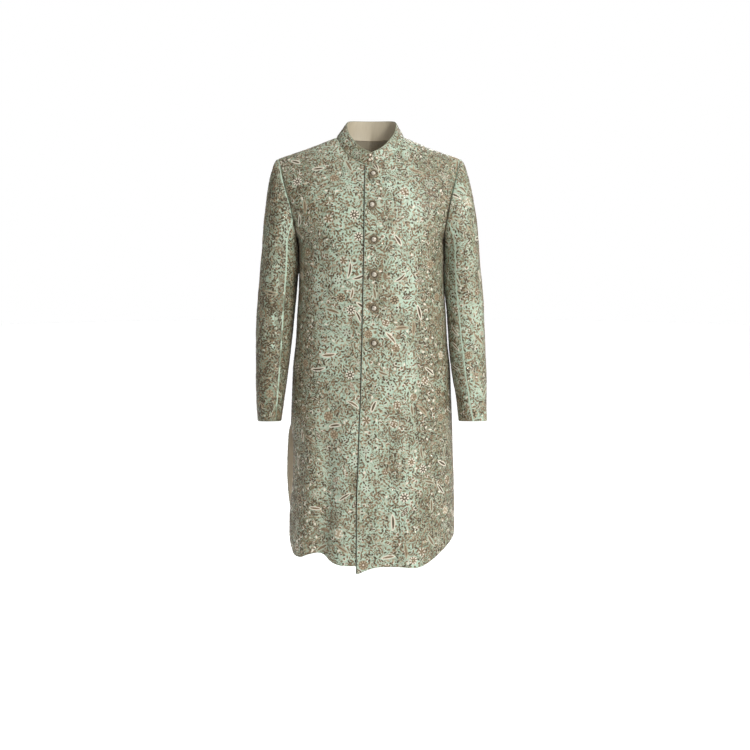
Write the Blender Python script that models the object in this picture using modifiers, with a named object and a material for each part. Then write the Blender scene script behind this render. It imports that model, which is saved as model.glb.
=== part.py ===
"""Sherwani coat.

A long formal coat with a stand collar, two fronts that lap at the closing, one
back panel with a vent at each side, two-piece set-in sleeves and six shank
buttons.  It keeps the hollow form of a coat on a standing figure.

Frame: metres, +Z up, the front of the coat faces -Y and the wearer's left is +X.
The origin is midway between the two side-neck points, where the shoulder seams
meet the collar.  Every table below is in millimetres.
"""
import math
from collections import namedtuple

import bmesh
import bpy
import numpy as np
from mathutils import Vector
from mathutils.bvhtree import BVHTree
from mathutils.kdtree import KDTree

MM = 0.001

# ----------------------------------------------------------------- sizes (mm)
WALL = 2.0                 # shell cloth, canvas and lining together
COLLAR_WALL = 3.0          # two layers of cloth over a stiffener
GAP = 0.3                  # between pieces at every seam
LAP_LIFT = WALL + GAP + 0.3   # how far the left front stands off the right one
UNDERLAP = 20.0            # the right front runs this far past the centre line
SIDE_NECK = 86.0           # centre line to the side-neck point
SHOULDER_TIP = 235.0       # centre line to the end of the shoulder seam
UNDERARM_Z = -262.0
VENT_TOP_Z = -743.0
BUTTON_RADIUS = 12.6

ROWS_ABOVE = 9             # levels from shoulder to underarm
COLUMNS = 9                # columns from the centre line to the armhole or side
SLEEVE_SIDES = 2 * ROWS_ABOVE

# ------------------------------------------------------------------ body shape
# half_width is half the coat's width at the side seams (above the underarm, the
# width the section would have if the armhole did not cut it); front and back are
# the depths before and behind the shoulder line; squareness is the section's
# superellipse power; sway moves the section sideways.
Level = namedtuple("Level", "z half_width front back squareness sway")
BODY = [
    Level(40, 252, 78, 68, 3.30, -6.5),
    Level(-5, 250, 82, 84, 3.30, -6.5),
    Level(-76, 245, 91, 92, 3.15, -6.0),
    Level(-125, 236, 110, 105, 2.85, -5.5),
    Level(-170, 228, 124, 114, 2.60, -4.5),
    Level(-211, 214, 135, 118, 2.40, -3.5),
    Level(-236, 201, 140, 119, 2.35, -2.5),
    Level(UNDERARM_Z, 188.5, 142, 119, 2.30, -1.5),
    Level(-300, 187, 143, 117, 2.30, 0),
    Level(-340, 187, 142, 112, 2.30, 0),
    Level(-395, 189.5, 139, 105, 2.30, 0),
    Level(-455, 194, 136, 100, 2.30, 0),
    Level(-525, 198, 135, 103, 2.30, 0),
    Level(-595, 206, 135, 113, 2.28, 0),
    Level(-665, 209.5, 136, 121, 2.25, 0),
    Level(-743, 213, 138, 126, 2.22, 0),
    Level(-815, 215, 141, 130, 2.20, 0),
    Level(-895, 218, 145, 134, 2.20, 0),
    Level(-975, 219, 149, 138, 2.20, 0),
    Level(-1045, 219.5, 152, 142, 2.20, 0),
    Level(-1115, 220, 155, 145, 2.20, 0),
]
FRONT_ROUND = 190.0        # the front reaches its full depth this far below the shoulder
BACK_ROUND = 120.0
ROUND_POWER = 1.8

# height of the shoulder line over each distance from the centre
Ridge = namedtuple("Ridge", "x z y")
SHOULDER = [
    Ridge(0, 28, 0), Ridge(SIDE_NECK, 0, 0), Ridge(103, -7, 0), Ridge(128, -17, 1),
    Ridge(153, -27, 2), Ridge(185, -38, 3), Ridge(215, -48, 4),
    Ridge(SHOULDER_TIP, -55, 5), Ridge(262, -66, 6),
]

Neck = namedtuple("Neck", "x z")
FRONT_NECK = [Neck(0, -79), Neck(20, -70.5), Neck(38, -61.5), Neck(50, -53),
              Neck(60, -46), Neck(72, -30), Neck(79, -16), Neck(84, -4), Neck(SIDE_NECK, 0)]
BACK_NECK = [Neck(0, -5), Neck(30, -4.5), Neck(60, -3), Neck(78, -1), Neck(SIDE_NECK, 0)]

Scye = namedtuple("Scye", "z front_x back_x")
ARMHOLE = [
    Scye(-55, SHOULDER_TIP, SHOULDER_TIP), Scye(-68, 230, 232), Scye(-90, 225, 227),
    Scye(-115, 219, 221), Scye(-142, 211.5, 215), Scye(-169, 203.5, 209),
    Scye(-190, 198.5, 204), Scye(-210, 195, 199), Scye(-233, 190.5, 193),
    Scye(-250, 189, 190), Scye(UNDERARM_Z, 188.5, 188.5),
]

# where each column meets the neck or shoulder, and the underarm level
Column = namedtuple("Column", "top_x underarm_x")
COLUMN = [Column(0, 0), Column(20, 20), Column(40, 52), Column(57, 80),
          Column(75, 106), Column(SIDE_NECK, 129), Column(122, 149),
          Column(160, 166), Column(198, 180), Column(SHOULDER_TIP, 188.5)]
LEVELS_TO_VENT = [-298, -340, -390, -445, -505, -570, -635, -695, VENT_TOP_Z]
LEVELS_VENT_TO_HEM = [0.14, 0.31, 0.49, 0.67, 0.85, 1.0]

# free edge of the left front, from the neck to its tip
Edge = namedtuple("Edge", "z x")
CLOSING_EDGE = [Edge(40, -11), Edge(-75, -12), Edge(-110, -13.5), Edge(-188, -15.5),
                Edge(-361, -20), Edge(-519, -23.5), Edge(-664, -27), Edge(-753, -31),
                Edge(-843, -34), Edge(-920, -37), Edge(-1112, -38.5)]

# hem height by distance from the centre; the corners at the vents are rounded up
Hem = namedtuple("Hem", "x z")
HEM_FRONT_LEFT = [Hem(-60, -1112), Hem(-38, -1112), Hem(-18, -1104), Hem(3, -1097),
                  Hem(25, -1094), Hem(73, -1096), Hem(116, -1099), Hem(141, -1092.5),
                  Hem(163, -1082), Hem(186, -1067), Hem(209, -1050), Hem(221, -1037)]
HEM_FRONT_RIGHT = [Hem(-221, -1038), Hem(-216, -1050), Hem(-210, -1068),
                   Hem(-198, -1082), Hem(-181, -1081), Hem(-159, -1070),
                   Hem(-144, -1066.5), Hem(-128, -1072), Hem(-109, -1081),
                   Hem(-88, -1089), Hem(-66, -1092), Hem(20, -1091)]
HEM_BACK = [Hem(-221, -1042), Hem(-205, -1060), Hem(-170, -1072), Hem(-90, -1079),
            Hem(0, -1076), Hem(90, -1080), Hem(170, -1070), Hem(205, -1056),
            Hem(221, -1038)]

# soft troughs and swells: middle at the hem, half-breadth, depth (+ out), and the
# height where each starts
Fold = namedtuple("Fold", "panel x half_breadth depth top_z")
FOLDS = [
    Fold("front", -136, 17, -13, -930),
    Fold("front", -178, 30, 11, -880),
    Fold("front", -85, 32, 5, -900),
    Fold("front", 112, 40, 6, -860),
    Fold("front", 60, 30, -4, -900),
    Fold("back", -96, 34, 9, -760),
    Fold("back", -30, 26, -7, -820),
    Fold("back", 42, 36, 8, -740),
    Fold("back", 128, 30, -6, -800),
]

# the two edges of each side vent drift apart; outward is away from the centre
Vent = namedtuple("Vent", "z right_front_out right_back_out left_front_out left_back_out half_open")
VENTS = [
    Vent(VENT_TOP_Z, 0, 0, 0, 0, 0.15), Vent(-772, -6, 7, 0, -2, 2.5),
    Vent(-815, -11, 9, 0, -4, 5), Vent(-895, -13, 7, 0, -5, 6),
    Vent(-945, -7, 3, 0, -5, 6), Vent(-995, -2, -3, 0, -5, 6),
    Vent(-1115, 0, -6, 0, -5, 6),
]

# ---------------------------------------------------------------- sleeve shape
# outer and inner are distances from the centre line; front and back are Y; turn
# rotates the seams around the sleeve (degrees); tilt drops the back of the ring.
Ring = namedtuple("Ring", "z outer inner front back turn tilt")
SLEEVE_RIGHT = [            # the wearer's right arm, at -X
    Ring(-298, 284.0, 191.2, -79, 74, -6, 0), Ring(-340, 289.5, 191.2, -76, 68, -7, 0),
    Ring(-390, 294.0, 194.5, -73, 61, -7, 0), Ring(-445, 298.0, 200.0, -72, 52, -6, 0),
    Ring(-500, 300.0, 205.5, -75, 44, -4, 0), Ring(-555, 301.0, 212.0, -81, 33, 0, 3),
    Ring(-615, 301.0, 219.5, -89, 20, 3, 6), Ring(-675, 299.8, 228.0, -96, 8, 7, 8),
    Ring(-731, 295.0, 236.0, -102, -5, 10, 8),
]
SLEEVE_LEFT = [             # the wearer's left arm, at +X
    Ring(-298, 280.0, 191.0, -79, 74, -4, 0), Ring(-340, 283.5, 191.0, -76, 68, -5, 0),
    Ring(-390, 289.5, 191.5, -73, 61, -6, 0), Ring(-445, 293.3, 196.0, -72, 52, -9, 0),
    Ring(-500, 294.5, 200.0, -75, 44, -12, 0), Ring(-555, 296.5, 203.5, -81, 33, -17, 3),
    Ring(-615, 299.5, 211.0, -89, 20, -19, 6), Ring(-675, 300.0, 221.5, -96, 8, -22, 8),
    Ring(-731, 299.5, 227.5, -102, -5, -36, 8),
]
SLEEVE_ROUND = 2.15         # superellipse power of a sleeve section
CAP_STEPS = [0.0, 0.09, 0.24, 0.44, 0.70, 1.0]
FRONT_SEAM_SIDE = 6         # side number where the sleeve's front seam runs
BACK_SEAM_SIDE = 13

# ---------------------------------------------------------------------- collar
# top edge of the band: angle from the centre front, and height
Crown = namedtuple("Crown", "angle z")
COLLAR_TOP = [Crown(0, -43), Crown(18, -34), Crown(33, -22.5), Crown(48, -8),
              Crown(59, 2), Crown(68, 11), Crown(80, 22), Crown(90, 31),
              Crown(98, 36.5), Crown(110, 40), Crown(140, 42.5), Crown(180, 43)]
COLLAR_TOP_HALF_WIDTH = 64.5
COLLAR_TOP_FRONT = 68.0
COLLAR_TOP_BACK = 46.0
COLLAR_BASE_SWAY = -3.0
COLLAR_END_GAP = 0.6
COLLAR_STEPS = [0.0, 0.5, 1.0]


# ------------------------------------------------------------------- functions
def column_of(table, name):
    return np.array([getattr(row, name) for row in table], dtype=float)


def smooth(xs, ys, x):
    """Monotone cubic through the table's rows (no overshoot), flat-ended outside."""
    xs, ys = np.asarray(xs, float), np.asarray(ys, float)
    if xs[0] > xs[-1]:
        xs, ys = xs[::-1], ys[::-1]
    x = np.clip(np.asarray(x, float), xs[0], xs[-1])
    h, d = np.diff(xs), np.diff(ys) / np.diff(xs)
    m = np.zeros_like(ys)
    m[0], m[-1] = d[0], d[-1]
    for k in range(1, len(xs) - 1):
        if d[k - 1] * d[k] > 0:
            w1, w2 = 2 * h[k] + h[k - 1], h[k] + 2 * h[k - 1]
            m[k] = (w1 + w2) / (w1 / d[k - 1] + w2 / d[k])
    i = np.clip(np.searchsorted(xs, x) - 1, 0, len(h) - 1)
    t = (x - xs[i]) / h[i]
    return ((1 + 2 * t) * (1 - t) ** 2 * ys[i] + t * (1 - t) ** 2 * h[i] * m[i]
            + t * t * (3 - 2 * t) * ys[i + 1] + t * t * (t - 1) * h[i] * m[i + 1])


def read(table, key, name, value):
    return smooth(column_of(table, key), column_of(table, name), value)


def ramp(value, start, end):
    t = min(max((value - start) / (end - start), 0.0), 1.0)
    return t * t * (3 - 2 * t)


def unit(v):
    v = np.asarray(v, float)
    return v / max(np.linalg.norm(v), 1e-12)


def body_y(x, z, face):
    """Depth of the coat's face ('front' or 'back') over a point of its outline."""
    ax = abs(x)
    half, power = read(BODY, "z", "half_width", z), read(BODY, "z", "squareness", z)
    across = max(1.0 - (min(ax, half) / half) ** power, 0.0) ** (1.0 / power)
    depth = read(BODY, "z", face, z) * across
    reach = FRONT_ROUND if face == "front" else BACK_ROUND
    t = min(max((read(SHOULDER, "x", "z", ax) - z) / reach, 0.0), 1.0)
    h = (1.0 - (1.0 - t) ** ROUND_POWER) ** (1.0 / ROUND_POWER)
    line = read(SHOULDER, "x", "y", ax)
    return line * (1 - h) + depth * h * (-1 if face == "front" else 1)


def sway(x, z):
    """Sideways shift: full at the shoulder tips, under half of it by the neck."""
    return float(read(BODY, "z", "sway", z)) * (0.45 + 0.55 * ramp(abs(x), 90, 190))


def body_point(x, z, face):
    return np.array([x + sway(x, z), body_y(x, z, face), z])


def armhole_edge(face):
    """ROWS_ABOVE + 1 outline points (x, z), evenly spaced from tip to underarm."""
    zs = np.linspace(ARMHOLE[0].z, UNDERARM_Z, 200)
    xs = read(ARMHOLE, "z", face + "_x", zs)
    pts = np.array([body_point(x, z, face) for x, z in zip(xs, zs)])
    run = np.concatenate([[0], np.cumsum(np.linalg.norm(np.diff(pts, axis=0), axis=1))])
    s = np.linspace(0, run[-1], ROWS_ABOVE + 1)
    return [(float(np.interp(v, run, xs)), float(np.interp(v, run, zs))) for v in s]


def top_outline(x, face):
    ax = abs(x)
    if ax >= SIDE_NECK:
        return float(read(SHOULDER, "x", "z", ax))
    return float(read(FRONT_NECK if face == "front" else BACK_NECK, "x", "z", ax))


def column_x(number, z, top=False):
    """Signed outline x of a column where columns run straight (underarm and below)."""
    n = abs(number)
    half = float(read(BODY, "z", "half_width", z))
    x = COLUMN[n].top_x if top else COLUMN[n].underarm_x * half / 188.5
    if n == 1:
        x = UNDERLAP
    return math.copysign(x, number) if n else 0.0


def outline_grid(face, hem):
    """(x, z) of every grid point of one face, rows from the top to the hem."""
    numbers = range(-COLUMNS, COLUMNS + 1)
    arm = armhole_edge(face)
    rows = []
    for i in range(ROWS_ABOVE + 1):
        v = i / ROWS_ABOVE
        row = []
        for n in numbers:
            u = abs(n) / COLUMNS
            xt = column_x(n, 0, top=True)
            if n == -1 and face == "front":
                xt = float(read(CLOSING_EDGE, "z", "x", -80))
            zt = top_outline(xt, face)
            xb = column_x(n, UNDERARM_Z)
            if n == -1 and face == "front":
                xb = float(read(CLOSING_EDGE, "z", "x", UNDERARM_Z))
            z0 = top_outline(0, face)
            zc = z0 + (UNDERARM_Z - z0) * v
            xe, ze = arm[i]
            xe = math.copysign(xe, n) if n else xe
            tip = math.copysign(SHOULDER_TIP, n) if n else SHOULDER_TIP
            low = math.copysign(188.5, n) if n else 188.5
            # blend of the four bounding lines (centre, armhole, top, underarm level)
            x = u * xe + (1 - v) * xt + v * xb - (u * (1 - v) * tip + u * v * low)
            z = ((1 - u) * zc + u * ze + (1 - v) * zt + v * UNDERARM_Z
                 - ((1 - u) * (1 - v) * z0 + u * (1 - v) * ARMHOLE[0].z
                    + (1 - u) * v * UNDERARM_Z + u * v * UNDERARM_Z))
            if n == -1 and face == "front":
                x = float(read(CLOSING_EDGE, "z", "x", z))
            row.append((x, z))
        rows.append(row)
    for z in LEVELS_TO_VENT:
        rows.append([(closing_or_column(n, z, face), z) for n in numbers])
    for f in LEVELS_VENT_TO_HEM:
        row = []
        for n in numbers:
            z = VENT_TOP_Z
            for _ in range(4):      # the hem height depends on x, and x on z
                x = closing_or_column(n, z, face)
                z = VENT_TOP_Z + f * (hem_height(hem, x) - VENT_TOP_Z)
            row.append((x, z))
        rows.append(row)
    return rows


def closing_or_column(number, z, face):
    if number == -1 and face == "front":
        return float(read(CLOSING_EDGE, "z", "x", z))
    return column_x(number, z)


def hem_height(table, x):
    return float(read(table, "x", "z", x))


def fold_depth(face, x, z):
    total = 0.0
    for f in FOLDS:
        if f.panel == face:
            total += (f.depth * math.exp(-((x - f.x) / f.half_breadth) ** 2)
                      * ramp(z, f.top_z, -1085))
    return total


def vent_shift(face, number, x, z):
    """Movement of a vent's edge, fading over the columns next to it."""
    if z > VENT_TOP_Z + 1:
        return np.zeros(3)
    near = {COLUMNS: 1.0, COLUMNS - 1: 0.35, COLUMNS - 2: 0.08}.get(abs(number), 0.0)
    side = "left" if number > 0 else "right"
    out = float(read(VENTS, "z", side + "_" + face + "_out", z)) * near
    half = float(read(VENTS, "z", "half_open", z)) * near
    return np.array([out * (1 if number > 0 else -1), -half if face == "front" else half, 0.0])


def body_grid(face, hem):
    grid = []
    for row in outline_grid(face, hem):
        line = []
        for n, (x, z) in zip(range(-COLUMNS, COLUMNS + 1), row):
            p = body_point(x, z, face)
            if z < VENT_TOP_Z:
                out = unit([p[0] / 220.0 ** 2, p[1] / 145.0 ** 2, 0])
                p = p + out * fold_depth(face, x, z)
            line.append(p)
        grid.append(line)
    return np.array(grid)


def vertex_normals(grids):
    """Outward normals of grid points, taken over all the faces that meet there."""
    bm = bmesh.new()
    for grid, flip in grids:
        verts = [[bm.verts.new(Vector(p)) for p in row] for row in grid]
        for i in range(len(verts) - 1):
            for j in range(len(verts[0]) - 1):
                quad = [verts[i][j], verts[i + 1][j], verts[i + 1][j + 1], verts[i][j + 1]]
                bm.faces.new(quad[::-1] if flip else quad)
    bmesh.ops.remove_doubles(bm, verts=bm.verts, dist=0.02)
    bm.normal_update()
    tree = KDTree(len(bm.verts))
    for k, v in enumerate(bm.verts):
        tree.insert(v.co, k)
    tree.balance()
    bm.verts.ensure_lookup_table()
    result = []
    for grid, _ in grids:
        result.append(np.array([[np.array(bm.verts[tree.find(Vector(p))[1]].normal)
                                 for p in row] for row in grid]))
    bm.free()
    return result


def inset(outer, inner, sides, amount=GAP / 2):
    """Pull the named edges of a panel back along its surface by half a gap."""
    shift = np.zeros_like(outer)
    for side in sides:
        if side == "top":
            a, b, sel = outer[0], outer[1], (0, slice(None))
        elif side == "bottom":
            a, b, sel = outer[-1], outer[-2], (-1, slice(None))
        elif side == "first":
            a, b, sel = outer[:, 0], outer[:, 1], (slice(None), 0)
        else:
            a, b, sel = outer[:, -1], outer[:, -2], (slice(None), -1)
        step = (b - a) / np.linalg.norm(b - a, axis=-1, keepdims=True)
        shift[sel] += step * amount
    return outer + shift, inner + shift


def wall_mesh(name, outer, inner, first_number=0):
    """One closed wall between two grids of points (millimetres).

    Quads are halved towards the centre line, so both halves of the coat mirror;
    first_number is the column number of the first column.
    """
    rows, cols = outer.shape[:2]
    bm = bmesh.new()
    skins = []
    for grid in (outer, inner):
        skins.append([[bm.verts.new(Vector(p) * MM) for p in row] for row in grid])

    def quad(a, b, c, d, other=False):
        halves = ((a, b, d), (b, c, d)) if other else ((a, b, c), (a, c, d))
        for half in halves:
            bm.faces.new(half)

    o, n = skins
    for i in range(rows - 1):
        for j in range(cols - 1):
            other = first_number + j < 0
            quad(o[i][j], o[i + 1][j], o[i + 1][j + 1], o[i][j + 1], other)
            quad(n[i][j + 1], n[i + 1][j + 1], n[i + 1][j], n[i][j], not other)
    for j in range(cols - 1):
        quad(o[0][j + 1], n[0][j + 1], n[0][j], o[0][j])
        quad(o[-1][j], n[-1][j], n[-1][j + 1], o[-1][j + 1])
    for i in range(rows - 1):
        quad(o[i][0], n[i][0], n[i + 1][0], o[i + 1][0])
        quad(o[i + 1][-1], n[i + 1][-1], n[i][-1], o[i][-1])
    bmesh.ops.recalc_face_normals(bm, faces=bm.faces)
    mesh = bpy.data.meshes.new(name)
    bm.to_mesh(mesh)
    bm.free()
    return mesh


def material(name, colour, roughness, metallic=0.0):
    m = bpy.data.materials.new(name)
    m.use_nodes = True
    bsdf = m.node_tree.nodes["Principled BSDF"]
    bsdf.inputs["Base Color"].default_value = (*colour, 1.0)
    bsdf.inputs["Roughness"].default_value = roughness
    bsdf.inputs["Metallic"].default_value = metallic
    return m


def add_object(name, mesh, mat, collection):
    obj = bpy.data.objects.new(name, mesh)
    mesh.materials.append(mat)
    collection.objects.link(obj)
    return obj


def smooth_shade(mesh, degrees=40):
    mesh.shade_smooth()
    mesh.set_sharp_from_angle(angle=math.radians(degrees))


# ------------------------------------------------------------------ body panels
def build_body(collection, cloth):
    front_l = body_grid("front", HEM_FRONT_LEFT)
    front_r = body_grid("front", HEM_FRONT_RIGHT)
    back = body_grid("back", HEM_BACK)
    # normals over the whole body, so that both sides of a seam share them
    whole = vertex_normals([(front_l, False), (back, True)])
    nl, nb = whole
    nr = vertex_normals([(front_r, False), (back, True)])[0]
    numbers = list(range(-COLUMNS, COLUMNS + 1))

    def vented(grid, face):
        out = grid.copy()
        for i in range(out.shape[0]):
            for j, n in enumerate(numbers):
                out[i, j] += vent_shift(face, n, out[i, j, 0], out[i, j, 2])
        return out

    front_l, front_r, back_v = vented(front_l, "front"), vented(front_r, "front"), vented(back, "back")

    centre = COLUMNS                      # list position of column 0
    # right front: from its side seam to the underlap column
    cut = slice(0, centre + 2)
    o, n = front_r[:, cut], nr[:, cut]
    o, i = seam_inset(o, o - n * WALL, side="first")
    add_object("front_right", finish(wall_mesh("front_right", o, i, -COLUMNS)),
               material("front_right_cloth", (0.32, 0.33, 0.25), 0.6), collection)

    # left front: from its free edge, lifted over the lap, to its side seam
    cut = slice(centre - 1, 2 * COLUMNS + 1)
    o, n = front_l[:, cut].copy(), nl[:, cut]
    lift = np.zeros(o.shape[1])
    lift[:3], lift[3], lift[4] = LAP_LIFT, LAP_LIFT * 0.55, LAP_LIFT * 0.15
    o = o + n * lift[None, :, None]
    o, i = seam_inset(o, o - n * WALL, side="last")
    left = add_object("front_left", finish(wall_mesh("front_left", o, i, -1)),
                      material("front_left_cloth", (0.34, 0.35, 0.27), 0.6), collection)

    o, i = back_v, back_v - nb * WALL
    o, i = seam_inset(o, i, side="both")
    add_object("back", finish(wall_mesh("back", o, i, -COLUMNS)),
               material("back_cloth", (0.30, 0.31, 0.24), 0.6), collection)
    return left, front_l, front_r, back, nl, nr, nb


def finish(mesh):
    smooth_shade(mesh, 50)
    return mesh


def seam_inset(o, i, side):
    """Half a gap off the shoulder seam and off the side seams down to the vents."""
    o, i = inset(o, i, ["top"])
    last = ROWS_ABOVE + len(LEVELS_TO_VENT)
    for which in (["first", "last"] if side == "both" else [side]):
        so, si = inset(o[ROWS_ABOVE:last + 1], i[ROWS_ABOVE:last + 1], [which])
        o[ROWS_ABOVE:last + 1], i[ROWS_ABOVE:last + 1] = so, si
    return o, i


# ---------------------------------------------------------------------- sleeves
def ring_points(ring, sign):
    """Points of one level sleeve section, from the outer point round the front."""
    cx, hw = 0.5 * (ring.outer + ring.inner), 0.5 * (ring.outer - ring.inner)
    cy, hd = 0.5 * (ring.front + ring.back), 0.5 * (ring.back - ring.front)
    pts = []
    for k in range(SLEEVE_SIDES + 1):
        base = 360.0 * k / SLEEVE_SIDES
        # the turn is full at the seams and nothing at the outer point
        a = math.radians(base + ring.turn * math.sin(math.radians(base) / 2) ** 2)
        c, s = math.cos(a), math.sin(a)
        p = 2.0 / SLEEVE_ROUND
        x = cx + hw * math.copysign(abs(c) ** p, c)
        y = cy - hd * math.copysign(abs(s) ** p, s)
        z = ring.z - (y - cy) * math.tan(math.radians(ring.tilt))
        pts.append([sign * x, y, z])
    return np.array(pts)


def armhole_loop(grid_front, grid_back, n_front, n_back, sign):
    """Armhole points and body normals: tip, down the front, underarm, up the back."""
    j = -1 if sign > 0 else 0
    f, b = grid_front[:ROWS_ABOVE + 1, j], grid_back[:ROWS_ABOVE + 1, j]
    nf, nbk = n_front[:ROWS_ABOVE + 1, j], n_back[:ROWS_ABOVE + 1, j]
    loop = np.concatenate([f, b[::-1][1:]])
    return loop, np.concatenate([nf, nbk[::-1][1:]])


def build_sleeve(name, rings, sign, loop, body_normals, cloth, collection):
    sides = SLEEVE_SIDES
    out_dir = unit([sign * 0.975, 0, -0.22])      # square to the armhole's plane
    first = ring_points(rings[0], sign)
    cap = []
    for t in CAP_STEPS:
        row = []
        for k in range(sides + 1):
            a = 2 * math.pi * k / sides
            c, s = math.cos(a), math.sin(a)
            start = unit([sign * (0.50 + 0.42 * c), -0.50 * s, -(0.66 - 0.34 * c)])
            leave = 20 + 4 * (0.5 + 0.5 * c) - 12 * max(0.0, -c) + 12 * abs(s)
            arrive = 14 + 78 * (0.5 + 0.5 * c) + 22 * abs(s)
            p0 = loop[k] + out_dir * GAP
            p3 = first[k]
            p1, p2 = p0 + start * leave, p3 + np.array([-sign * 5.5 * max(c, 0), 0, arrive])
            row.append((1 - t) ** 3 * p0 + 3 * t * (1 - t) ** 2 * p1
                       + 3 * t * t * (1 - t) * p2 + t ** 3 * p3)
        cap.append(row)
    rows = cap + [ring_points(r, sign) for r in rings[1:]]
    grid = np.array(rows)
    normals = vertex_normals([(grid, sign > 0)])[0]
    middle = grid[:, :-1].mean(axis=1, keepdims=True)
    if np.mean(np.sum(normals * (grid - middle), axis=2)) < 0:
        normals = -normals
    normals[:, -1] = normals[:, 0] = (normals[:, 0] + normals[:, -1])
    normals /= np.linalg.norm(normals, axis=2, keepdims=True)
    # at the armhole, where the two surfaces turn away from each other they share
    # one rim direction, so the rims stay parallel
    for k in range(sides + 1):
        nt, ns = body_normals[k], normals[0, k]
        if np.dot(ns - nt, out_dir) > 0:
            normals[0, k] = unit(nt + ns) if np.dot(nt, ns) > 0.2 else ns
    inner = grid - normals * WALL
    f, b = FRONT_SEAM_SIDE, BACK_SEAM_SIDE
    # upper: from the back seam, over the outer side, to the front seam
    order = list(range(b, sides)) + list(range(0, f + 1))
    for part, cols in (("upper", order), ("under", list(range(f, b + 1)))):
        o, i = inset(grid[:, cols], inner[:, cols], ["first", "last"])
        add_object(f"{name}_{part}", finish(wall_mesh(f"{name}_{part}", o, i)),
                   material(f"{name}_{part}_cloth", cloth, 0.6), collection)
    return grid, normals


# ----------------------------------------------------------------------- collar
def build_collar(collection, front, back, cloth):
    """A band on the neck edge, its ends meeting at the centre front."""
    c = COLUMNS
    neck = 5                                     # column of the side-neck point
    base = [front[0, c + n] for n in range(0, neck + 1)]
    base += [back[0, c + n] for n in range(neck - 1, -neck - 1, -1)]
    base += [front[0, c + n] for n in range(-neck + 1, 1)]
    base = np.array(base)
    rows = []
    top = []
    for k, p in enumerate(base):
        x, y = p[0] - COLLAR_BASE_SWAY, p[1]
        angle = math.degrees(math.atan2(x / SIDE_NECK, -(y / (78.0 if y < 0 else 58.0))))
        a = math.radians(angle)
        deep = COLLAR_TOP_FRONT if abs(angle) < 90 else COLLAR_TOP_BACK
        top.append([COLLAR_TOP_HALF_WIDTH * math.sin(a), -deep * math.cos(a),
                    float(read(COLLAR_TOP, "angle", "z", abs(angle)))])
    top = np.array(top)
    top[0, 0], top[-1, 0] = base[0, 0], base[-1, 0]
    lift = (top - base) / np.linalg.norm(top - base, axis=1, keepdims=True)
    base = base + lift * GAP * 1.2
    for t in COLLAR_STEPS:
        row = base + (top - base) * t
        bow = 1.5 * math.sin(math.pi * t)
        row[:, 0] += bow * row[:, 0] / 80.0
        row[:, 1] += bow * row[:, 1] / 80.0
        rows.append(row)
    grid = np.array(rows)[::-1]                  # top edge first
    n = vertex_normals([(grid, False)])[0]
    mid = grid.mean(axis=1, keepdims=True)
    if np.mean(np.sum(n * (grid - mid), axis=2)) < 0:
        n = -n
    n[:, 0] = n[:, -1] = unit([0, -1, 0.25])
    o, i = inset(grid, grid - n * COLLAR_WALL, ["first", "last"], COLLAR_END_GAP / 2)
    add_object("collar", finish(wall_mesh("collar", o, i)),
               material("collar_cloth", cloth, 0.6), collection)
    return grid, n


# ---------------------------------------------------------------------- buttons
# profile of a shank button, from its outer edge: radius and height over the back
Turn = namedtuple("Turn", "radius height")
BUTTON_PROFILE = [Turn(0.0, 7.0), Turn(4.1, 6.1), Turn(7.0, 4.2), Turn(8.0, 2.9),
                  Turn(10.4, 3.3), Turn(BUTTON_RADIUS, 2.0), Turn(11.7, 0.0), Turn(0.0, 0.0)]
# where each one is sewn: sewn by hand, so they are not quite evenly spaced
Spot = namedtuple("Spot", "x z")
BUTTONS = [Spot(5.0, -98), Spot(1.6, -174.5), Spot(6.3, -260), Spot(7.2, -346),
           Spot(6.8, -430.5), Spot(7.0, -518.5)]


def build_buttons(collection, left_front, mesh_front):
    tree = BVHTree.FromPolygons([v.co[:] for v in mesh_front.vertices],
                                [tuple(p.vertices) for p in mesh_front.polygons])
    mesh = bpy.data.meshes.new("button")
    mesh.from_pydata([(t.radius * MM, 0, t.height * MM) for t in BUTTON_PROFILE],
                     [(k, k + 1) for k in range(len(BUTTON_PROFILE) - 1)], [])
    for number, spot in enumerate(BUTTONS):
        start = Vector((spot.x * MM, -0.4, spot.z * MM))
        hit, normal, _, _ = tree.ray_cast(start, Vector((0, 1, 0)))
        if normal.y > 0:
            normal = -normal
        # raise the back until the whole disc clears the cloth by one gap
        q = normal.to_track_quat("Z", "Y")
        high = 0.0
        for r in (0.5, 1.0):
            for a in range(0, 360, 20):
                arm = q @ Vector((math.cos(math.radians(a)), math.sin(math.radians(a)), 0))
                p = hit + arm * (BUTTON_RADIUS * r * MM)
                top, _, _, dist = tree.ray_cast(p + normal * 0.02, -normal)
                if top is not None:
                    high = max(high, (top - hit).dot(normal))
        obj = bpy.data.objects.new(f"button_{number + 1}", mesh if number == 0 else mesh.copy())
        obj.location = hit + normal * (high + GAP * MM)
        obj.rotation_mode = "QUATERNION"
        obj.rotation_quaternion = q
        collection.objects.link(obj)
        screw = obj.modifiers.new("turn", "SCREW")
        screw.axis = "Z"
        screw.steps = screw.render_steps = 16
        screw.use_merge_vertices = True
        screw.merge_threshold = 0.00005
        obj.data.materials.append(material(f"button_{number + 1}_metal", (0.55, 0.52, 0.46), 0.35, 0.6))


def main():
    for obj in list(bpy.data.objects):
        bpy.data.objects.remove(obj, do_unlink=True)
    collection = bpy.data.collections.new("sherwani_coat")
    bpy.context.scene.collection.children.link(collection)

    left, front_l, front_r, back, nl, nr, nb = build_body(collection, None)
    loop, norms = armhole_loop(front_l, back, nl, nb, +1)
    build_sleeve("sleeve_left", SLEEVE_LEFT, +1, loop, norms, (0.34, 0.35, 0.27), collection)
    loop, norms = armhole_loop(front_r, back, nr, nb, -1)
    build_sleeve("sleeve_right", SLEEVE_RIGHT, -1, loop, norms, (0.28, 0.28, 0.21), collection)
    build_collar(collection, front_l, back, (0.30, 0.31, 0.24))
    build_buttons(collection, left, left.data)


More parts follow.
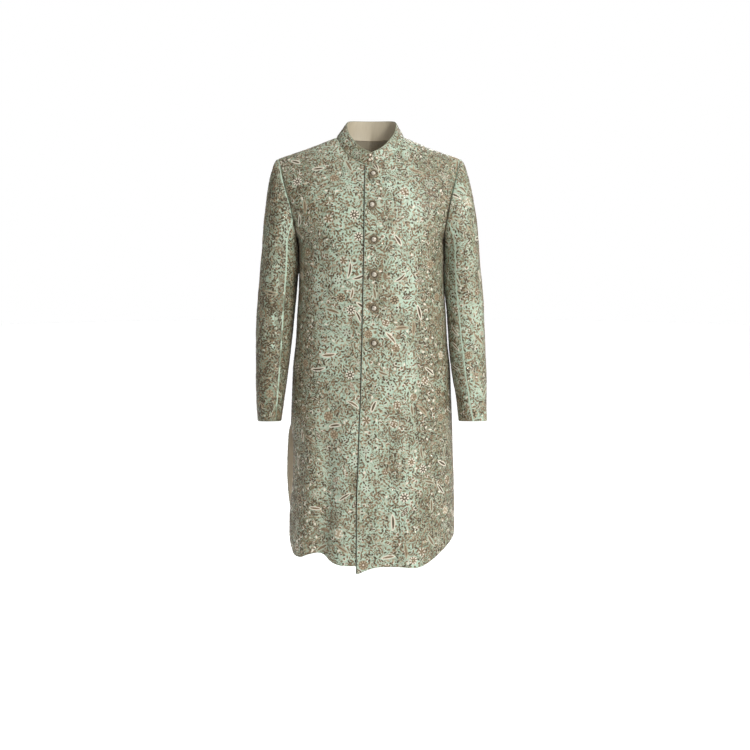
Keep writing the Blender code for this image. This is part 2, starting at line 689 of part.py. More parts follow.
main()
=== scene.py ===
"""Looks of the sherwani coat: embroidered silk shells with seams, soft folds and raised
thread work, pearl buttons, beads, a pale floor, studio light and the camera.

Frame: metres, +Z up, the front of the coat faces -Y and the wearer's left is +X.
Tables are in millimetres.  The garment tables repeat the CAD part's sizes, and the
cloth here runs through the same section functions on a finer grid.
"""
import math
from collections import namedtuple

import bpy
import numpy as np
from mathutils import Matrix, Vector


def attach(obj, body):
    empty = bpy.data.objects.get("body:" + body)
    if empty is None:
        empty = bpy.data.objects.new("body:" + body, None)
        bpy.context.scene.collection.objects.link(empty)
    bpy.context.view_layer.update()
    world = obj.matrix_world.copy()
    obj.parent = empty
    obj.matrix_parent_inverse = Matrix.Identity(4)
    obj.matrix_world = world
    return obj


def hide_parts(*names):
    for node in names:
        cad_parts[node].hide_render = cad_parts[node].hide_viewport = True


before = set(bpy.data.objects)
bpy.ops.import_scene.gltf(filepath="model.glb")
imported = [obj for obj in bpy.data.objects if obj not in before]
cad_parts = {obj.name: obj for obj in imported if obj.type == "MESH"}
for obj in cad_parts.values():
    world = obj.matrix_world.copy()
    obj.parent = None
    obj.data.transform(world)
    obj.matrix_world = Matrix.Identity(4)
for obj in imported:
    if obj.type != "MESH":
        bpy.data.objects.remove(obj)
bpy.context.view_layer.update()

MM = 0.001

# ------------------------------------------------------------------ garment sizes (mm)
CLOTH = 1.8                # cloth with its canvas, as drawn here
COLLAR_CLOTH = 2.6
LAP_LIFT = 2.6
UNDERLAP = 20.0
SIDE_NECK = 86.0
SHOULDER_TIP = 235.0
UNDERARM_Z = -262.0
VENT_TOP_Z = -743.0
BUTTON_COUNT = 6
ROWS_ABOVE = 9
COLUMNS = 9
FINE = 4                   # grid lines for each line of the CAD grid
LINES_TO_VENT = 71
LINES_VENT_TO_HEM = 50

Level = namedtuple("Level", "z half_width front back squareness sway")
BODY = [
    Level(40, 252, 78, 68, 3.30, -6.5), Level(-5, 250, 82, 84, 3.30, -6.5),
    Level(-76, 245, 91, 92, 3.15, -6.0), Level(-125, 236, 110, 105, 2.85, -5.5),
    Level(-170, 228, 124, 114, 2.60, -4.5), Level(-211, 214, 135, 118, 2.40, -3.5),
    Level(-236, 201, 140, 119, 2.35, -2.5), Level(UNDERARM_Z, 188.5, 142, 119, 2.30, -1.5),
    Level(-300, 187, 143, 117, 2.30, 0), Level(-340, 187, 142, 112, 2.30, 0),
    Level(-395, 189.5, 139, 105, 2.30, 0), Level(-455, 194, 136, 100, 2.30, 0),
    Level(-525, 198, 135, 103, 2.30, 0), Level(-595, 206, 135, 113, 2.28, 0),
    Level(-665, 209.5, 136, 121, 2.25, 0), Level(-743, 213, 138, 126, 2.22, 0),
    Level(-815, 215, 141, 130, 2.20, 0), Level(-895, 218, 145, 134, 2.20, 0),
    Level(-975, 219, 149, 138, 2.20, 0), Level(-1045, 219.5, 152, 142, 2.20, 0),
    Level(-1115, 220, 155, 145, 2.20, 0),
]
FRONT_ROUND = 190.0
BACK_ROUND = 120.0
ROUND_POWER = 1.8

Ridge = namedtuple("Ridge", "x z y")
SHOULDER = [
    Ridge(0, 28, 0), Ridge(SIDE_NECK, 0, 0), Ridge(103, -7, 0), Ridge(128, -17, 1),
    Ridge(153, -27, 2), Ridge(185, -38, 3), Ridge(215, -48, 4),
    Ridge(SHOULDER_TIP, -55, 5), Ridge(262, -66, 6),
]
Neck = namedtuple("Neck", "x z")
FRONT_NECK = [Neck(0, -79), Neck(20, -70.5), Neck(38, -61.5), Neck(50, -53),
              Neck(60, -46), Neck(72, -30), Neck(79, -16), Neck(84, -4), Neck(SIDE_NECK, 0)]
BACK_NECK = [Neck(0, -5), Neck(30, -4.5), Neck(60, -3), Neck(78, -1), Neck(SIDE_NECK, 0)]
Scye = namedtuple("Scye", "z front_x back_x")
ARMHOLE = [
    Scye(-55, SHOULDER_TIP, SHOULDER_TIP), Scye(-68, 230, 232), Scye(-90, 225, 227),
    Scye(-115, 219, 221), Scye(-142, 211.5, 215), Scye(-169, 203.5, 209),
    Scye(-190, 198.5, 204), Scye(-210, 195, 199), Scye(-233, 190.5, 193),
    Scye(-250, 189, 190), Scye(UNDERARM_Z, 188.5, 188.5),
]
Column = namedtuple("Column", "number top_x underarm_x")
COLUMN = [Column(0, 0, 0), Column(1, 20, 20), Column(2, 40, 52), Column(3, 57, 80),
          Column(4, 75, 106), Column(5, SIDE_NECK, 129), Column(6, 122, 149),
          Column(7, 160, 166), Column(8, 198, 180), Column(9, SHOULDER_TIP, 188.5)]
Edge = namedtuple("Edge", "z x")
CLOSING_EDGE = [Edge(40, -11), Edge(-75, -12), Edge(-110, -13.5), Edge(-188, -15.5),
                Edge(-361, -20), Edge(-519, -23.5), Edge(-664, -27), Edge(-753, -31),
                Edge(-843, -34), Edge(-920, -37), Edge(-1112, -38.5)]
Hem = namedtuple("Hem", "x z")
HEM_FRONT_LEFT = [Hem(-60, -1112), Hem(-38, -1112), Hem(-18, -1104), Hem(3, -1097),
                  Hem(25, -1094), Hem(73, -1096), Hem(116, -1099), Hem(141, -1092.5),
                  Hem(163, -1082), Hem(186, -1067), Hem(209, -1050), Hem(221, -1037)]
HEM_FRONT_RIGHT = [Hem(-221, -1038), Hem(-216, -1050), Hem(-210, -1068),
                   Hem(-198, -1082), Hem(-181, -1081), Hem(-159, -1070),
                   Hem(-144, -1066.5), Hem(-128, -1072), Hem(-109, -1081),
                   Hem(-88, -1089), Hem(-66, -1092), Hem(20, -1091)]
HEM_BACK = [Hem(-221, -1042), Hem(-205, -1060), Hem(-170, -1072), Hem(-90, -1079),
            Hem(0, -1076), Hem(90, -1080), Hem(170, -1070), Hem(205, -1056),
            Hem(221, -1038)]
Fold = namedtuple("Fold", "panel x half_breadth depth top_z")
FOLDS = [
    Fold("front", -136, 17, -13, -930), Fold("front", -178, 30, 11, -880),
    Fold("front", -85, 32, 5, -900), Fold("front", 112, 40, 6, -860),
    Fold("front", 60, 30, -4, -900), Fold("back", -96, 34, 9, -760),
    Fold("back", -30, 26, -7, -820), Fold("back", 42, 36, 8, -740),
    Fold("back", 128, 30, -6, -800),
]
Vent = namedtuple("Vent", "z right_front_out right_back_out left_front_out left_back_out half_open")
VENTS = [
    Vent(VENT_TOP_Z, 0, 0, 0, 0, 0.15), Vent(-772, -6, 7, 0, -2, 2.5),
    Vent(-815, -11, 9, 0, -4, 5), Vent(-895, -13, 7, 0, -5, 6),
    Vent(-945, -7, 3, 0, -5, 6), Vent(-995, -2, -3, 0, -5, 6),
    Vent(-1115, 0, -6, 0, -5, 6),
]
Ring = namedtuple("Ring", "z outer inner front back turn tilt")
SLEEVE_RIGHT = [
    Ring(-298, 284.0, 191.2, -79, 74, -6, 0), Ring(-340, 289.5, 191.2, -76, 68, -7, 0),
    Ring(-390, 294.0, 194.5, -73, 61, -7, 0), Ring(-445, 298.0, 200.0, -72, 52, -6, 0),
    Ring(-500, 300.0, 205.5, -75, 44, -4, 0), Ring(-555, 301.0, 212.0, -81, 33, 0, 3),
    Ring(-615, 301.0, 219.5, -89, 20, 3, 6), Ring(-675, 299.8, 228.0, -96, 8, 7, 8),
    Ring(-731, 295.0, 236.0, -102, -5, 10, 8),
]
SLEEVE_LEFT = [
    Ring(-298, 280.0, 191.0, -79, 74, -4, 0), Ring(-340, 283.5, 191.0, -76, 68, -5, 0),
    Ring(-390, 289.5, 191.5, -73, 61, -6, 0), Ring(-445, 293.3, 196.0, -72, 52, -9, 0),
    Ring(-500, 294.5, 200.0, -75, 44, -12, 0), Ring(-555, 296.5, 203.5, -81, 33, -17, 3),
    Ring(-615, 299.5, 211.0, -89, 20, -19, 6), Ring(-675, 300.0, 221.5, -96, 8, -22, 8),
    Ring(-731, 299.5, 227.5, -102, -5, -36, 8),
]
SLEEVE_ROUND = 2.15
PRESSED = {"left": (3.9, -378), "right": (3.7, -330)}   # how far in, down to which height
CAP_LINES = 31
SLEEVE_LINES = 62
FRONT_SEAM_SIDE = 6
BACK_SEAM_SIDE = 13
Crown = namedtuple("Crown", "angle z")
COLLAR_TOP = [Crown(0, -43), Crown(18, -34), Crown(33, -22.5), Crown(48, -8),
              Crown(59, 2), Crown(68, 11), Crown(80, 22), Crown(90, 31),
              Crown(98, 36.5), Crown(110, 40), Crown(140, 42.5), Crown(180, 43)]
COLLAR_TOP_HALF_WIDTH = 64.5
COLLAR_TOP_FRONT = 68.0
COLLAR_TOP_BACK = 46.0
COLLAR_BASE_SWAY = -3.0

# soft creases: from one end to the other, half-breadth across, height (+ out)
Crease = namedtuple("Crease", "where x0 z0 x1 z1 half_breadth height")
CREASES = [
    # drag lines from the underarms towards the chest
    Crease("front", -176, -262, -110, -330, 9, -1.8), Crease("front", -180, -292, -126, -372, 11, 1.6),
    Crease("front", 178, -268, 112, -322, 10, -1.6), Crease("front", 182, -300, 128, -360, 12, 1.5),
    Crease("back", -176, -250, -96, -300, 11, -2.0), Crease("back", 178, -246, 90, -306, 12, -2.1),
    # across the waist
    Crease("front", -170, -452, -70, -470, 10, 1.2), Crease("front", -160, -486, -40, -498, 12, -1.4),
    Crease("front", 166, -466, 70, -480, 11, 1.2), Crease("front", 172, -500, 60, -512, 13, -1.3),
    Crease("back", -150, -430, 30, -446, 13, 1.8), Crease("back", -40, -468, 160, -456, 14, -1.9),
    Crease("back", -120, -500, 60, -508, 15, 1.4),
    # long soft folds of the skirt
    Crease("front", 82, -560, 96, -1060, 24, 2.2), Crease("front", 36, -640, 44, -1040, 20, -1.8),
    Crease("front", 138, -600, 150, -1020, 20, -2.2), Crease("front", -60, -620, -70, -1040, 22, 2.0),
    Crease("front", -106, -720, -130, -1100, 21, -6.2), Crease("front", -160, -640, -162, -1090, 24, 3.6),
    Crease("front", -48, -560, -50, -800, 16, 1.4),
    Crease("back", -140, -620, -150, -1020, 22, -2.4), Crease("back", 84, -640, 92, -1030, 22, -2.6),
    Crease("back", 8, -600, 4, -1040, 26, 2.4),
    # small pulls under the buttons and at the chest
    Crease("front", 24, -120, 84, -150, 10, 0.9), Crease("front", -30, -200, -96, -214, 10, -0.9),
    Crease("front", 26, -350, 96, -362, 10, -0.9), Crease("front", -34, -300, -92, -312, 9, 0.8),
]
# sleeve creases: side number where each starts and ends round the sleeve
Ruck = namedtuple("Ruck", "sleeve side0 z0 side1 z1 half_breadth height")
RUCKS = [
    Ruck("left", 3.0, -330, 7.5, -372, 9, -1.6), Ruck("left", 2.0, -452, 7.0, -470, 8, -2.0),
    Ruck("left", 3.0, -480, 8.0, -494, 8, 1.7), Ruck("left", 1.0, -520, 6.5, -512, 9, -1.7),
    Ruck("left", 10.0, -430, 15.0, -446, 10, 1.9), Ruck("left", 11.0, -500, 16.0, -486, 10, -1.9),
    Ruck("left", 2.0, -604, 6.0, -618, 9, 1.2), Ruck("left", 12.0, -350, 15.5, -330, 10, -1.6),
    Ruck("right", 3.0, -336, 7.5, -366, 9, -1.5), Ruck("right", 1.5, -446, 6.5, -468, 8, 1.8),
    Ruck("right", 2.5, -486, 7.5, -500, 8, -2.0), Ruck("right", 1.0, -540, 6.0, -530, 9, 1.4),
    Ruck("right", 10.0, -440, 15.0, -456, 10, -1.9), Ruck("right", 11.0, -512, 16.0, -496, 10, 1.8),
    Ruck("right", 2.0, -622, 6.0, -634, 9, -1.2), Ruck("right", 12.0, -346, 15.5, -324, 10, 1.6),
]


# ------------------------------------------------------------------- section functions
def names_of(table, name):
    return np.array([getattr(row, name) for row in table], dtype=float)


def smooth(xs, ys, x):
    """Monotone cubic through a table's rows (no overshoot), flat-ended outside."""
    xs, ys = np.asarray(xs, float), np.asarray(ys, float)
    if xs[0] > xs[-1]:
        xs, ys = xs[::-1], ys[::-1]
    x = np.clip(np.asarray(x, float), xs[0], xs[-1])
    h, d = np.diff(xs), np.diff(ys) / np.diff(xs)
    m = np.zeros_like(ys)
    m[0], m[-1] = d[0], d[-1]
    for k in range(1, len(xs) - 1):
        if d[k - 1] * d[k] > 0:
            w1, w2 = 2 * h[k] + h[k - 1], h[k] + 2 * h[k - 1]
            m[k] = (w1 + w2) / (w1 / d[k - 1] + w2 / d[k])
    i = np.clip(np.searchsorted(xs, x) - 1, 0, len(h) - 1)
    t = (x - xs[i]) / h[i]
    return ((1 + 2 * t) * (1 - t) ** 2 * ys[i] + t * (1 - t) ** 2 * h[i] * m[i]
            + t * t * (3 - 2 * t) * ys[i + 1] + t * t * (t - 1) * h[i] * m[i + 1])


def read(table, key, name, value):
    return smooth(names_of(table, key), names_of(table, name), value)


def ramp(value, start, end):
    t = np.clip((np.asarray(value, float) - start) / (end - start), 0.0, 1.0)
    return t * t * (3 - 2 * t)


def unit(v):
    return v / np.maximum(np.linalg.norm(v, axis=-1, keepdims=True), 1e-12)


def body_y(x, z, face):
    ax = np.abs(x)
    half, power = read(BODY, "z", "half_width", z), read(BODY, "z", "squareness", z)
    across = np.maximum(1.0 - (np.minimum(ax, half) / half) ** power, 0.0) ** (1.0 / power)
    depth = read(BODY, "z", face, z) * across
    reach = FRONT_ROUND if face == "front" else BACK_ROUND
    t = np.clip((read(SHOULDER, "x", "z", ax) - z) / reach, 0.0, 1.0)
    h = (1.0 - (1.0 - t) ** ROUND_POWER) ** (1.0 / ROUND_POWER)
    line = read(SHOULDER, "x", "y", ax)
    return line * (1 - h) + depth * h * (-1 if face == "front" else 1)


def sway(x, z):
    return read(BODY, "z", "sway", z) * (0.45 + 0.55 * ramp(np.abs(x), 90, 190))


def top_outline(x, face):
    ax = np.abs(x)
    neck = read(FRONT_NECK if face == "front" else BACK_NECK, "x", "z", ax)
    return np.where(ax >= SIDE_NECK, read(SHOULDER, "x", "z", ax), neck)


def armhole_edge(face, lines):
    zs = np.linspace(ARMHOLE[0].z, UNDERARM_Z, 400)
    xs = read(ARMHOLE, "z", face + "_x", zs)
    pts = np.stack([xs + sway(xs, zs), body_y(xs, zs, face), zs], axis=-1)
    run = np.concatenate([[0], np.cumsum(np.linalg.norm(np.diff(pts, axis=0), axis=1))])
    s = np.linspace(0, run[-1], lines + 1)
    return np.interp(s, run, xs), np.interp(s, run, zs)


def column_x(c, z, face, top=False):
    """Outline x of a column, whole or between two of the CAD grid's columns."""
    n = np.abs(c)
    numbers = names_of(COLUMN, "number")
    if top:
        x = smooth(numbers, names_of(COLUMN, "top_x"), n)
        second = COLUMN[2].top_x
    else:
        low = names_of(COLUMN, "underarm_x")
        x = smooth(numbers, low, n)
        t = np.clip(n - 8, 0, 1)
        # even steps round the side, where the section turns square to the front
        x = np.where(n > 8, low[9] - (low[9] - low[8]) * (1 - t) ** 2.3, x)
        grow = read(BODY, "z", "half_width", z) / 188.5
        x, second = x * grow, low[2] * grow
    first = np.where((face == "front") & (c < 0), -read(CLOSING_EDGE, "z", "x", z), UNDERLAP)
    x = np.where(n <= 1, n * first, np.where(n < 2, first + (second - first) * (n - 1), x))
    return np.where(c < 0, -x, x)


def outline(face, hem):
    cs = np.linspace(-COLUMNS, COLUMNS, 2 * COLUMNS * FINE + 1)
    arm_x, arm_z = armhole_edge(face, ROWS_ABOVE * FINE)
    xs, zs = [], []
    u = np.abs(cs) / COLUMNS
    side = np.where(cs < 0, -1.0, 1.0)
    xt = column_x(cs, -80.0, face, top=True)
    zt = top_outline(xt, face)
    xb = column_x(cs, UNDERARM_Z, face)
    z0 = float(top_outline(0.0, face))
    for i in range(ROWS_ABOVE * FINE + 1):
        v = i / (ROWS_ABOVE * FINE)
        zc = z0 + (UNDERARM_Z - z0) * v
        x = (u * side * arm_x[i] + (1 - v) * xt + v * xb
             - (u * (1 - v) * side * SHOULDER_TIP + u * v * side * 188.5))
        z = ((1 - u) * zc + u * arm_z[i] + (1 - v) * zt + v * UNDERARM_Z
             - ((1 - u) * (1 - v) * z0 + u * (1 - v) * ARMHOLE[0].z + v * UNDERARM_Z))
        if face == "front":
            lap = read(CLOSING_EDGE, "z", "x", z)
            k2 = int(np.argmin(np.abs(cs + 2)))
            t = np.clip(-cs - 1, 0, 1)
            x = np.where((cs < 0) & (cs >= -1), -cs * lap,
                         np.where((cs < -1) & (cs > -2), (1 - t) * lap + t * x[k2], x))
        xs.append(x)
        zs.append(z)
    for z in np.linspace(UNDERARM_Z, VENT_TOP_Z, LINES_TO_VENT + 1)[1:]:
        zz = np.full_like(cs, z)
        xs.append(column_x(cs, zz, face))
        zs.append(zz)
    for f in np.linspace(0, 1, LINES_VENT_TO_HEM + 1)[1:]:
        z = np.full_like(cs, VENT_TOP_Z)
        for _ in range(4):
            x = column_x(cs, z, face)
            z = VENT_TOP_Z + f * (read(hem, "x", "z", x) - VENT_TOP_Z)
        xs.append(x)
        zs.append(z)
    return cs, np.array(xs), np.array(zs)


def fold_depth(face, x, z):
    total = np.zeros_like(x)
    for f in FOLDS:
        if f.panel == face:
            total += f.depth * np.exp(-((x - f.x) / f.half_breadth) ** 2) * ramp(z, f.top_z, -1085)
    return total


WAVES = np.random.default_rng(11).normal(size=(26, 3))
WAVES = WAVES / np.linalg.norm(WAVES, axis=1, keepdims=True)
WAVE_PHASE = np.random.default_rng(12).uniform(0, 2 * math.pi, 26)


def undulation(p, longest, shortest, power=0.8):
    """A sum of seeded plane waves: soft irregularity, about -1 to 1."""
    total, weight = 0.0, 0.0
    for k in range(len(WAVES)):
        f = k / (len(WAVES) - 1)
        length = longest * (shortest / longest) ** f
        a = (length / longest) ** power
        total = total + a * np.sin(p @ (WAVES[k] * 2 * math.pi / length) + WAVE_PHASE[k])
        weight += a * a * 0.5
    return total / math.sqrt(weight) / 2.2


def crease_height(where, x, z):
    """Soft ridges and troughs, tapering at both ends."""
    total = np.zeros_like(x)
    for f in CREASES:
        if f.where != where:
            continue
        d = np.array([f.x1 - f.x0, f.z1 - f.z0], float)
        run = np.linalg.norm(d)
        d /= run
        along = (x - f.x0) * d[0] + (z - f.z0) * d[1]
        bend = 5.0 * np.sin(along / run * math.pi * 1.7 + f.x0)
        across = -(x - f.x0) * d[1] + (z - f.z0) * d[0] + bend
        taper = ramp(along, -0.10 * run, 0.32 * run) * (1 - ramp(along, 0.68 * run, 1.12 * run))
        total += 1.7 * f.height * np.exp(-(across / f.half_breadth) ** 2) * taper
    return total


def body_surface(face, hem, lift=None):
    cs, x, z = outline(face, hem)
    p = np.stack([x + sway(x, z), body_y(x, z, face), z], axis=-1)
    low = z < VENT_TOP_Z
    out = unit(np.stack([p[..., 0] / 220.0 ** 2, p[..., 1] / 145.0 ** 2, 0 * z], axis=-1))
    p = p + out * (fold_depth(face, x, z) * low)[..., None]
    n = np.abs(cs)[None, :] + 0 * z
    near = np.interp(n, [6, 7, 8, 9], [0, 0.08, 0.35, 1.0]) * (z <= VENT_TOP_Z + 1)
    right = cs[None, :] < 0
    shift = np.where(right, read(VENTS, "z", "right_" + face + "_out", z),
                     read(VENTS, "z", "left_" + face + "_out", z))
    half = read(VENTS, "z", "half_open", z) * near
    p[..., 0] += shift * near * np.where(right, -1, 1)
    p[..., 1] += -half if face == "front" else half
    grid = Surface(p, np.array([0, -1.0 if face == "front" else 1.0, 0]))
    # soft creases, faded towards the seams so that both sides of a seam stay together
    rows = np.arange(z.shape[0])[:, None] + 0 * z
    fade = ramp(9 - n, 0.15, 1.3) * ramp(rows, 1, 9)
    loose = np.where(z < VENT_TOP_Z, np.maximum(fade, ramp(-z, 780, 900)), fade)
    d = crease_height(face, x, z)
    d = d + 1.5 * undulation(p * [1, 1, 0.35], 210, 70) * (0.35 + 0.65 * ramp(-z, 420, 1000))
    d = d + 0.42 * undulation(p, 46, 15, 0.3)
    d = d * loose
    d = d + 0.9 * ramp(n, 7.2, 8.8) * ramp(-z, 225, 262) * (1 - ramp(-z, 345, 400))
    if lift is not None:
        d = d + lift * np.interp(cs, [-1, 1, 2, 3, 4], [1, 1, 0.55, 0.15, 0])[None, :]
    return cs, p + grid.n * d[..., None]


def sleeve_surface(rings, sign, loop, key):
    sides = 2 * ROWS_ABOVE * FINE
    k = np.arange(sides + 1) / FINE            # side numbers of the CAD sleeve
    base = 20.0 * k

    def ring(z):
        r = {name: float(read(rings, "z", name, z)) for name in Ring._fields if name != "z"}
        cx, hw = 0.5 * (r["outer"] + r["inner"]), 0.5 * (r["outer"] - r["inner"])
        cy, hd = 0.5 * (r["front"] + r["back"]), 0.5 * (r["back"] - r["front"])
        a = np.radians(base + r["turn"] * np.sin(np.radians(base) / 2) ** 2)
        c, s = np.cos(a), np.sin(a)
        e = 2.0 / SLEEVE_ROUND
        x = cx + hw * np.sign(c) * np.abs(c) ** e
        y = cy - hd * np.sign(s) * np.abs(s) ** e
        return np.stack([sign * x, y, z - (y - cy) * math.tan(math.radians(r["tilt"]))], axis=-1)

    first = ring(rings[0].z)
    a = np.radians(base)
    c, s = np.cos(a), np.sin(a)
    start = unit(np.stack([sign * (0.50 + 0.42 * c), -0.50 * s, -(0.66 - 0.34 * c)], axis=-1))
    leave = 20 + 4 * (0.5 + 0.5 * c) - 12 * np.maximum(0.0, -c) + 12 * np.abs(s)
    arrive = 14 + 78 * (0.5 + 0.5 * c) + 22 * np.abs(s)
    out_dir = unit(np.array([sign * 0.975, 0, -0.22]))
    p0, p3 = loop + out_dir * 0.3, first
    p1 = p0 + start * leave[:, None]
    p2 = p3 + np.stack([-sign * 5.5 * np.maximum(c, 0), 0 * c, arrive], axis=-1)
    rows = []
    for t in np.linspace(0, 1, CAP_LINES) ** 1.15:
        rows.append((1 - t) ** 3 * p0 + 3 * t * (1 - t) ** 2 * p1
                    + 3 * t * t * (1 - t) * p2 + t ** 3 * p3)
    zs = np.linspace(rings[0].z, rings[-1].z, SLEEVE_LINES)
    rows += [ring(z) for z in zs[1:]]
    p = np.array(rows)
    middle = p[:, :-1].mean(axis=1, keepdims=True)
    grid = Surface(p, None, p - middle)
    n = grid.n
    n[:, -1] = n[:, 0] = unit(n[:, 0] + n[:, -1])
    z = p[..., 2]
    kk = k[None, :] + 0 * z
    # under the arm the sleeve rests on the coat's side
    press, until = PRESSED[key]
    p[..., 0] -= (sign * press * np.exp(-((kk - 9) / 2.4) ** 2) * (1 - ramp(-z, -until, 34 - until))
                  * ramp(np.arange(len(p))[:, None] + 0 * z, 6, 24))
    # creases, faded at the armhole and at both seams
    d = np.zeros_like(z)
    girth = 25.0                                  # mm for each CAD side
    for f in RUCKS:
        if f.sleeve != key:
            continue
        v = np.array([(f.side1 - f.side0) * girth, f.z1 - f.z0])
        run = np.linalg.norm(v)
        v /= run
        along = (kk - f.side0) * girth * v[0] + (z - f.z0) * v[1]
        across = (-(kk - f.side0) * girth * v[1] + (z - f.z0) * v[0]
                  + 3.5 * np.sin(along / run * 4 + f.z0))
        taper = ramp(along, -0.1 * run, 0.35 * run) * (1 - ramp(along, 0.65 * run, 1.1 * run))
        d += f.height * np.exp(-(across / f.half_breadth) ** 2) * taper
    d += 1.1 * undulation(p * [1, 1, 0.6], 120, 45)
    d += 0.42 * undulation(p, 46, 15, 0.3)
    seams = np.minimum(np.abs(kk - FRONT_SEAM_SIDE), np.abs(kk - BACK_SEAM_SIDE))
    fade = ramp(seams, 0.05, 0.8) * ramp(np.arange(len(p))[:, None] + 0 * z, 2, 12)
    # the inner side stays where it is, just clear of the body
    fade = fade * (1 - 0.8 * np.exp(-((kk - 9) / 1.6) ** 2))
    return k, p + n * (d * fade)[..., None], n


class Surface:
    """A grid of points (mm) with outward normals and the local sizes of its cells."""

    def __init__(self, p, outward, radial=None):
        self.p = p
        pr, pc = np.gradient(p, axis=0), np.gradient(p, axis=1)
        n = unit(np.cross(pc, pr))
        way = radial if radial is not None else outward
        if np.mean(np.sum(n * way, axis=-1)) < 0:
            n = -n
        self.n = n
        self.e1 = unit(pc - n * np.sum(pc * n, axis=-1, keepdims=True))
        self.e2 = np.cross(n, self.e1)
        self.a = np.linalg.norm(pc, axis=-1)
        self.s = np.sum(pr * self.e1, axis=-1)
        b = np.sum(pr * self.e2, axis=-1)
        self.b = np.where(np.abs(b) < 0.15, np.where(b < 0, -0.15, 0.15), b)
        self.shape = p.shape[:2]


def at(grid, r, c):
    """Bilinear reading of a grid at fractional rows and columns."""
    rows, cols = grid.shape[:2]
    r, c = np.clip(r, 0, rows - 1), np.clip(c, 0, cols - 1)
    i, j = np.minimum(r.astype(int), rows - 2), np.minimum(c.astype(int), cols - 2)
    fr, fc = r - i, c - j
    if grid.ndim == 3:
        fr, fc = fr[..., None], fc[..., None]
    return (grid[i, j] * (1 - fr) * (1 - fc) + grid[i + 1, j] * fr * (1 - fc)
            + grid[i, j + 1] * (1 - fr) * fc + grid[i + 1, j + 1] * fr * fc)


ROLL_WIDTH = 1.7           # how far from a seam a panel's edge starts to turn in


class Panel(Surface):
    """One cut piece: its outer surface, its edges and the thread work on it."""

    def __init__(self, name, node, p, outward=None, radial=None, slot="coat_cloth",
                 thick=CLOTH, margins=(0.8, 0.8, 0.8, 0.8), rolls=(1.0, 1.0, 1.0, 0.5)):
        super().__init__(p, outward, radial)
        self.name, self.node, self.slot, self.thick = name, node, slot, thick
        self.margins, self.rolls = margins, rolls   # at the first, last, top and bottom edge
        self.skip = None
        self.deep = False                    # drawn darker, threads and ground: closer work and painted shade
        self.close = None                    # 0 open ground ... 1 close work ... 1.6 closest; -1 left plain


    def edges(self, r, c):
        """Distance in mm from the first, last, top and bottom edges."""
        rows, cols = self.shape
        a, b = at(self.a, r, c), np.abs(at(self.b, r, c))
        return c * a, (cols - 1 - c) * a, r * b, (rows - 1 - r) * b

    def point(self, r, c, h=0.0):
        roll, ridge = 0.0, 0.0
        for depth, d in zip(self.rolls, self.edges(r, c)):
            turn = depth * np.exp(-(d / ROLL_WIDTH) ** 2)
            roll, ridge = np.maximum(roll, turn), np.minimum(ridge, turn)
        roll = roll + ridge
        n = unit(at(self.n, r, c))
        return at(self.p, r, c) + n * (h - roll)[..., None]

    def inner(self, r, c):
        return at(self.p, r, c) - unit(at(self.n, r, c)) * self.thick

    def area(self):
        d1, d2 = self.p[1:, 1:] - self.p[:-1, :-1], self.p[1:, :-1] - self.p[:-1, 1:]
        return 0.5 * np.linalg.norm(np.cross(d1, d2), axis=-1)

    def flat(self):
        """Flat places in mm: across by row, and down the middle column."""
        down = np.concatenate([[0], np.cumsum(np.abs(self.b[1:, self.shape[1] // 2]))])
        across = np.concatenate([np.zeros((self.shape[0], 1)),
                                 np.cumsum(0.5 * (self.a[:, 1:] + self.a[:, :-1]), axis=1)], axis=1)
        across -= across[:, [self.shape[1] // 2]]
        return across, down[:, None] + 0 * across


def mesh_from(name, verts, faces, smooth_faces=True, mats=None, uvs=None):
    """Fast mesh from numpy: verts (n, 3) in mm, faces (m, 3 or 4)."""
    mesh = bpy.data.meshes.new(name)
    k = faces.shape[1]
    mesh.vertices.add(len(verts))
    mesh.vertices.foreach_set("co", (verts * MM).astype(np.float32).ravel())
    mesh.loops.add(faces.size)
    mesh.loops.foreach_set("vertex_index", faces.astype(np.int32).ravel())
    mesh.polygons.add(len(faces))
    mesh.polygons.foreach_set("loop_start", (np.arange(len(faces)) * k).astype(np.int32))
    mesh.polygons.foreach_set("loop_total", np.full(len(faces), k, np.int32))
    if mats is not None:
        mesh.polygons.foreach_set("material_index", mats.astype(np.int32))
    for uv_name, uv in (uvs or {}).items():
        layer = mesh.uv_layers.new(name=uv_name)
        layer.data.foreach_set("uv", uv[faces.ravel()].astype(np.float32).ravel())
    mesh.update(calc_edges=True)
    mesh.polygons.foreach_set("use_smooth", np.full(len(faces), smooth_faces))
    return mesh


def add(name, mesh, materials, body="root"):
    obj = bpy.data.objects.new(name, mesh)
    for m in materials:
        mesh.materials.append(m)
    bpy.context.scene.collection.objects.link(obj)
    if body:
        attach(obj, body)
    return obj


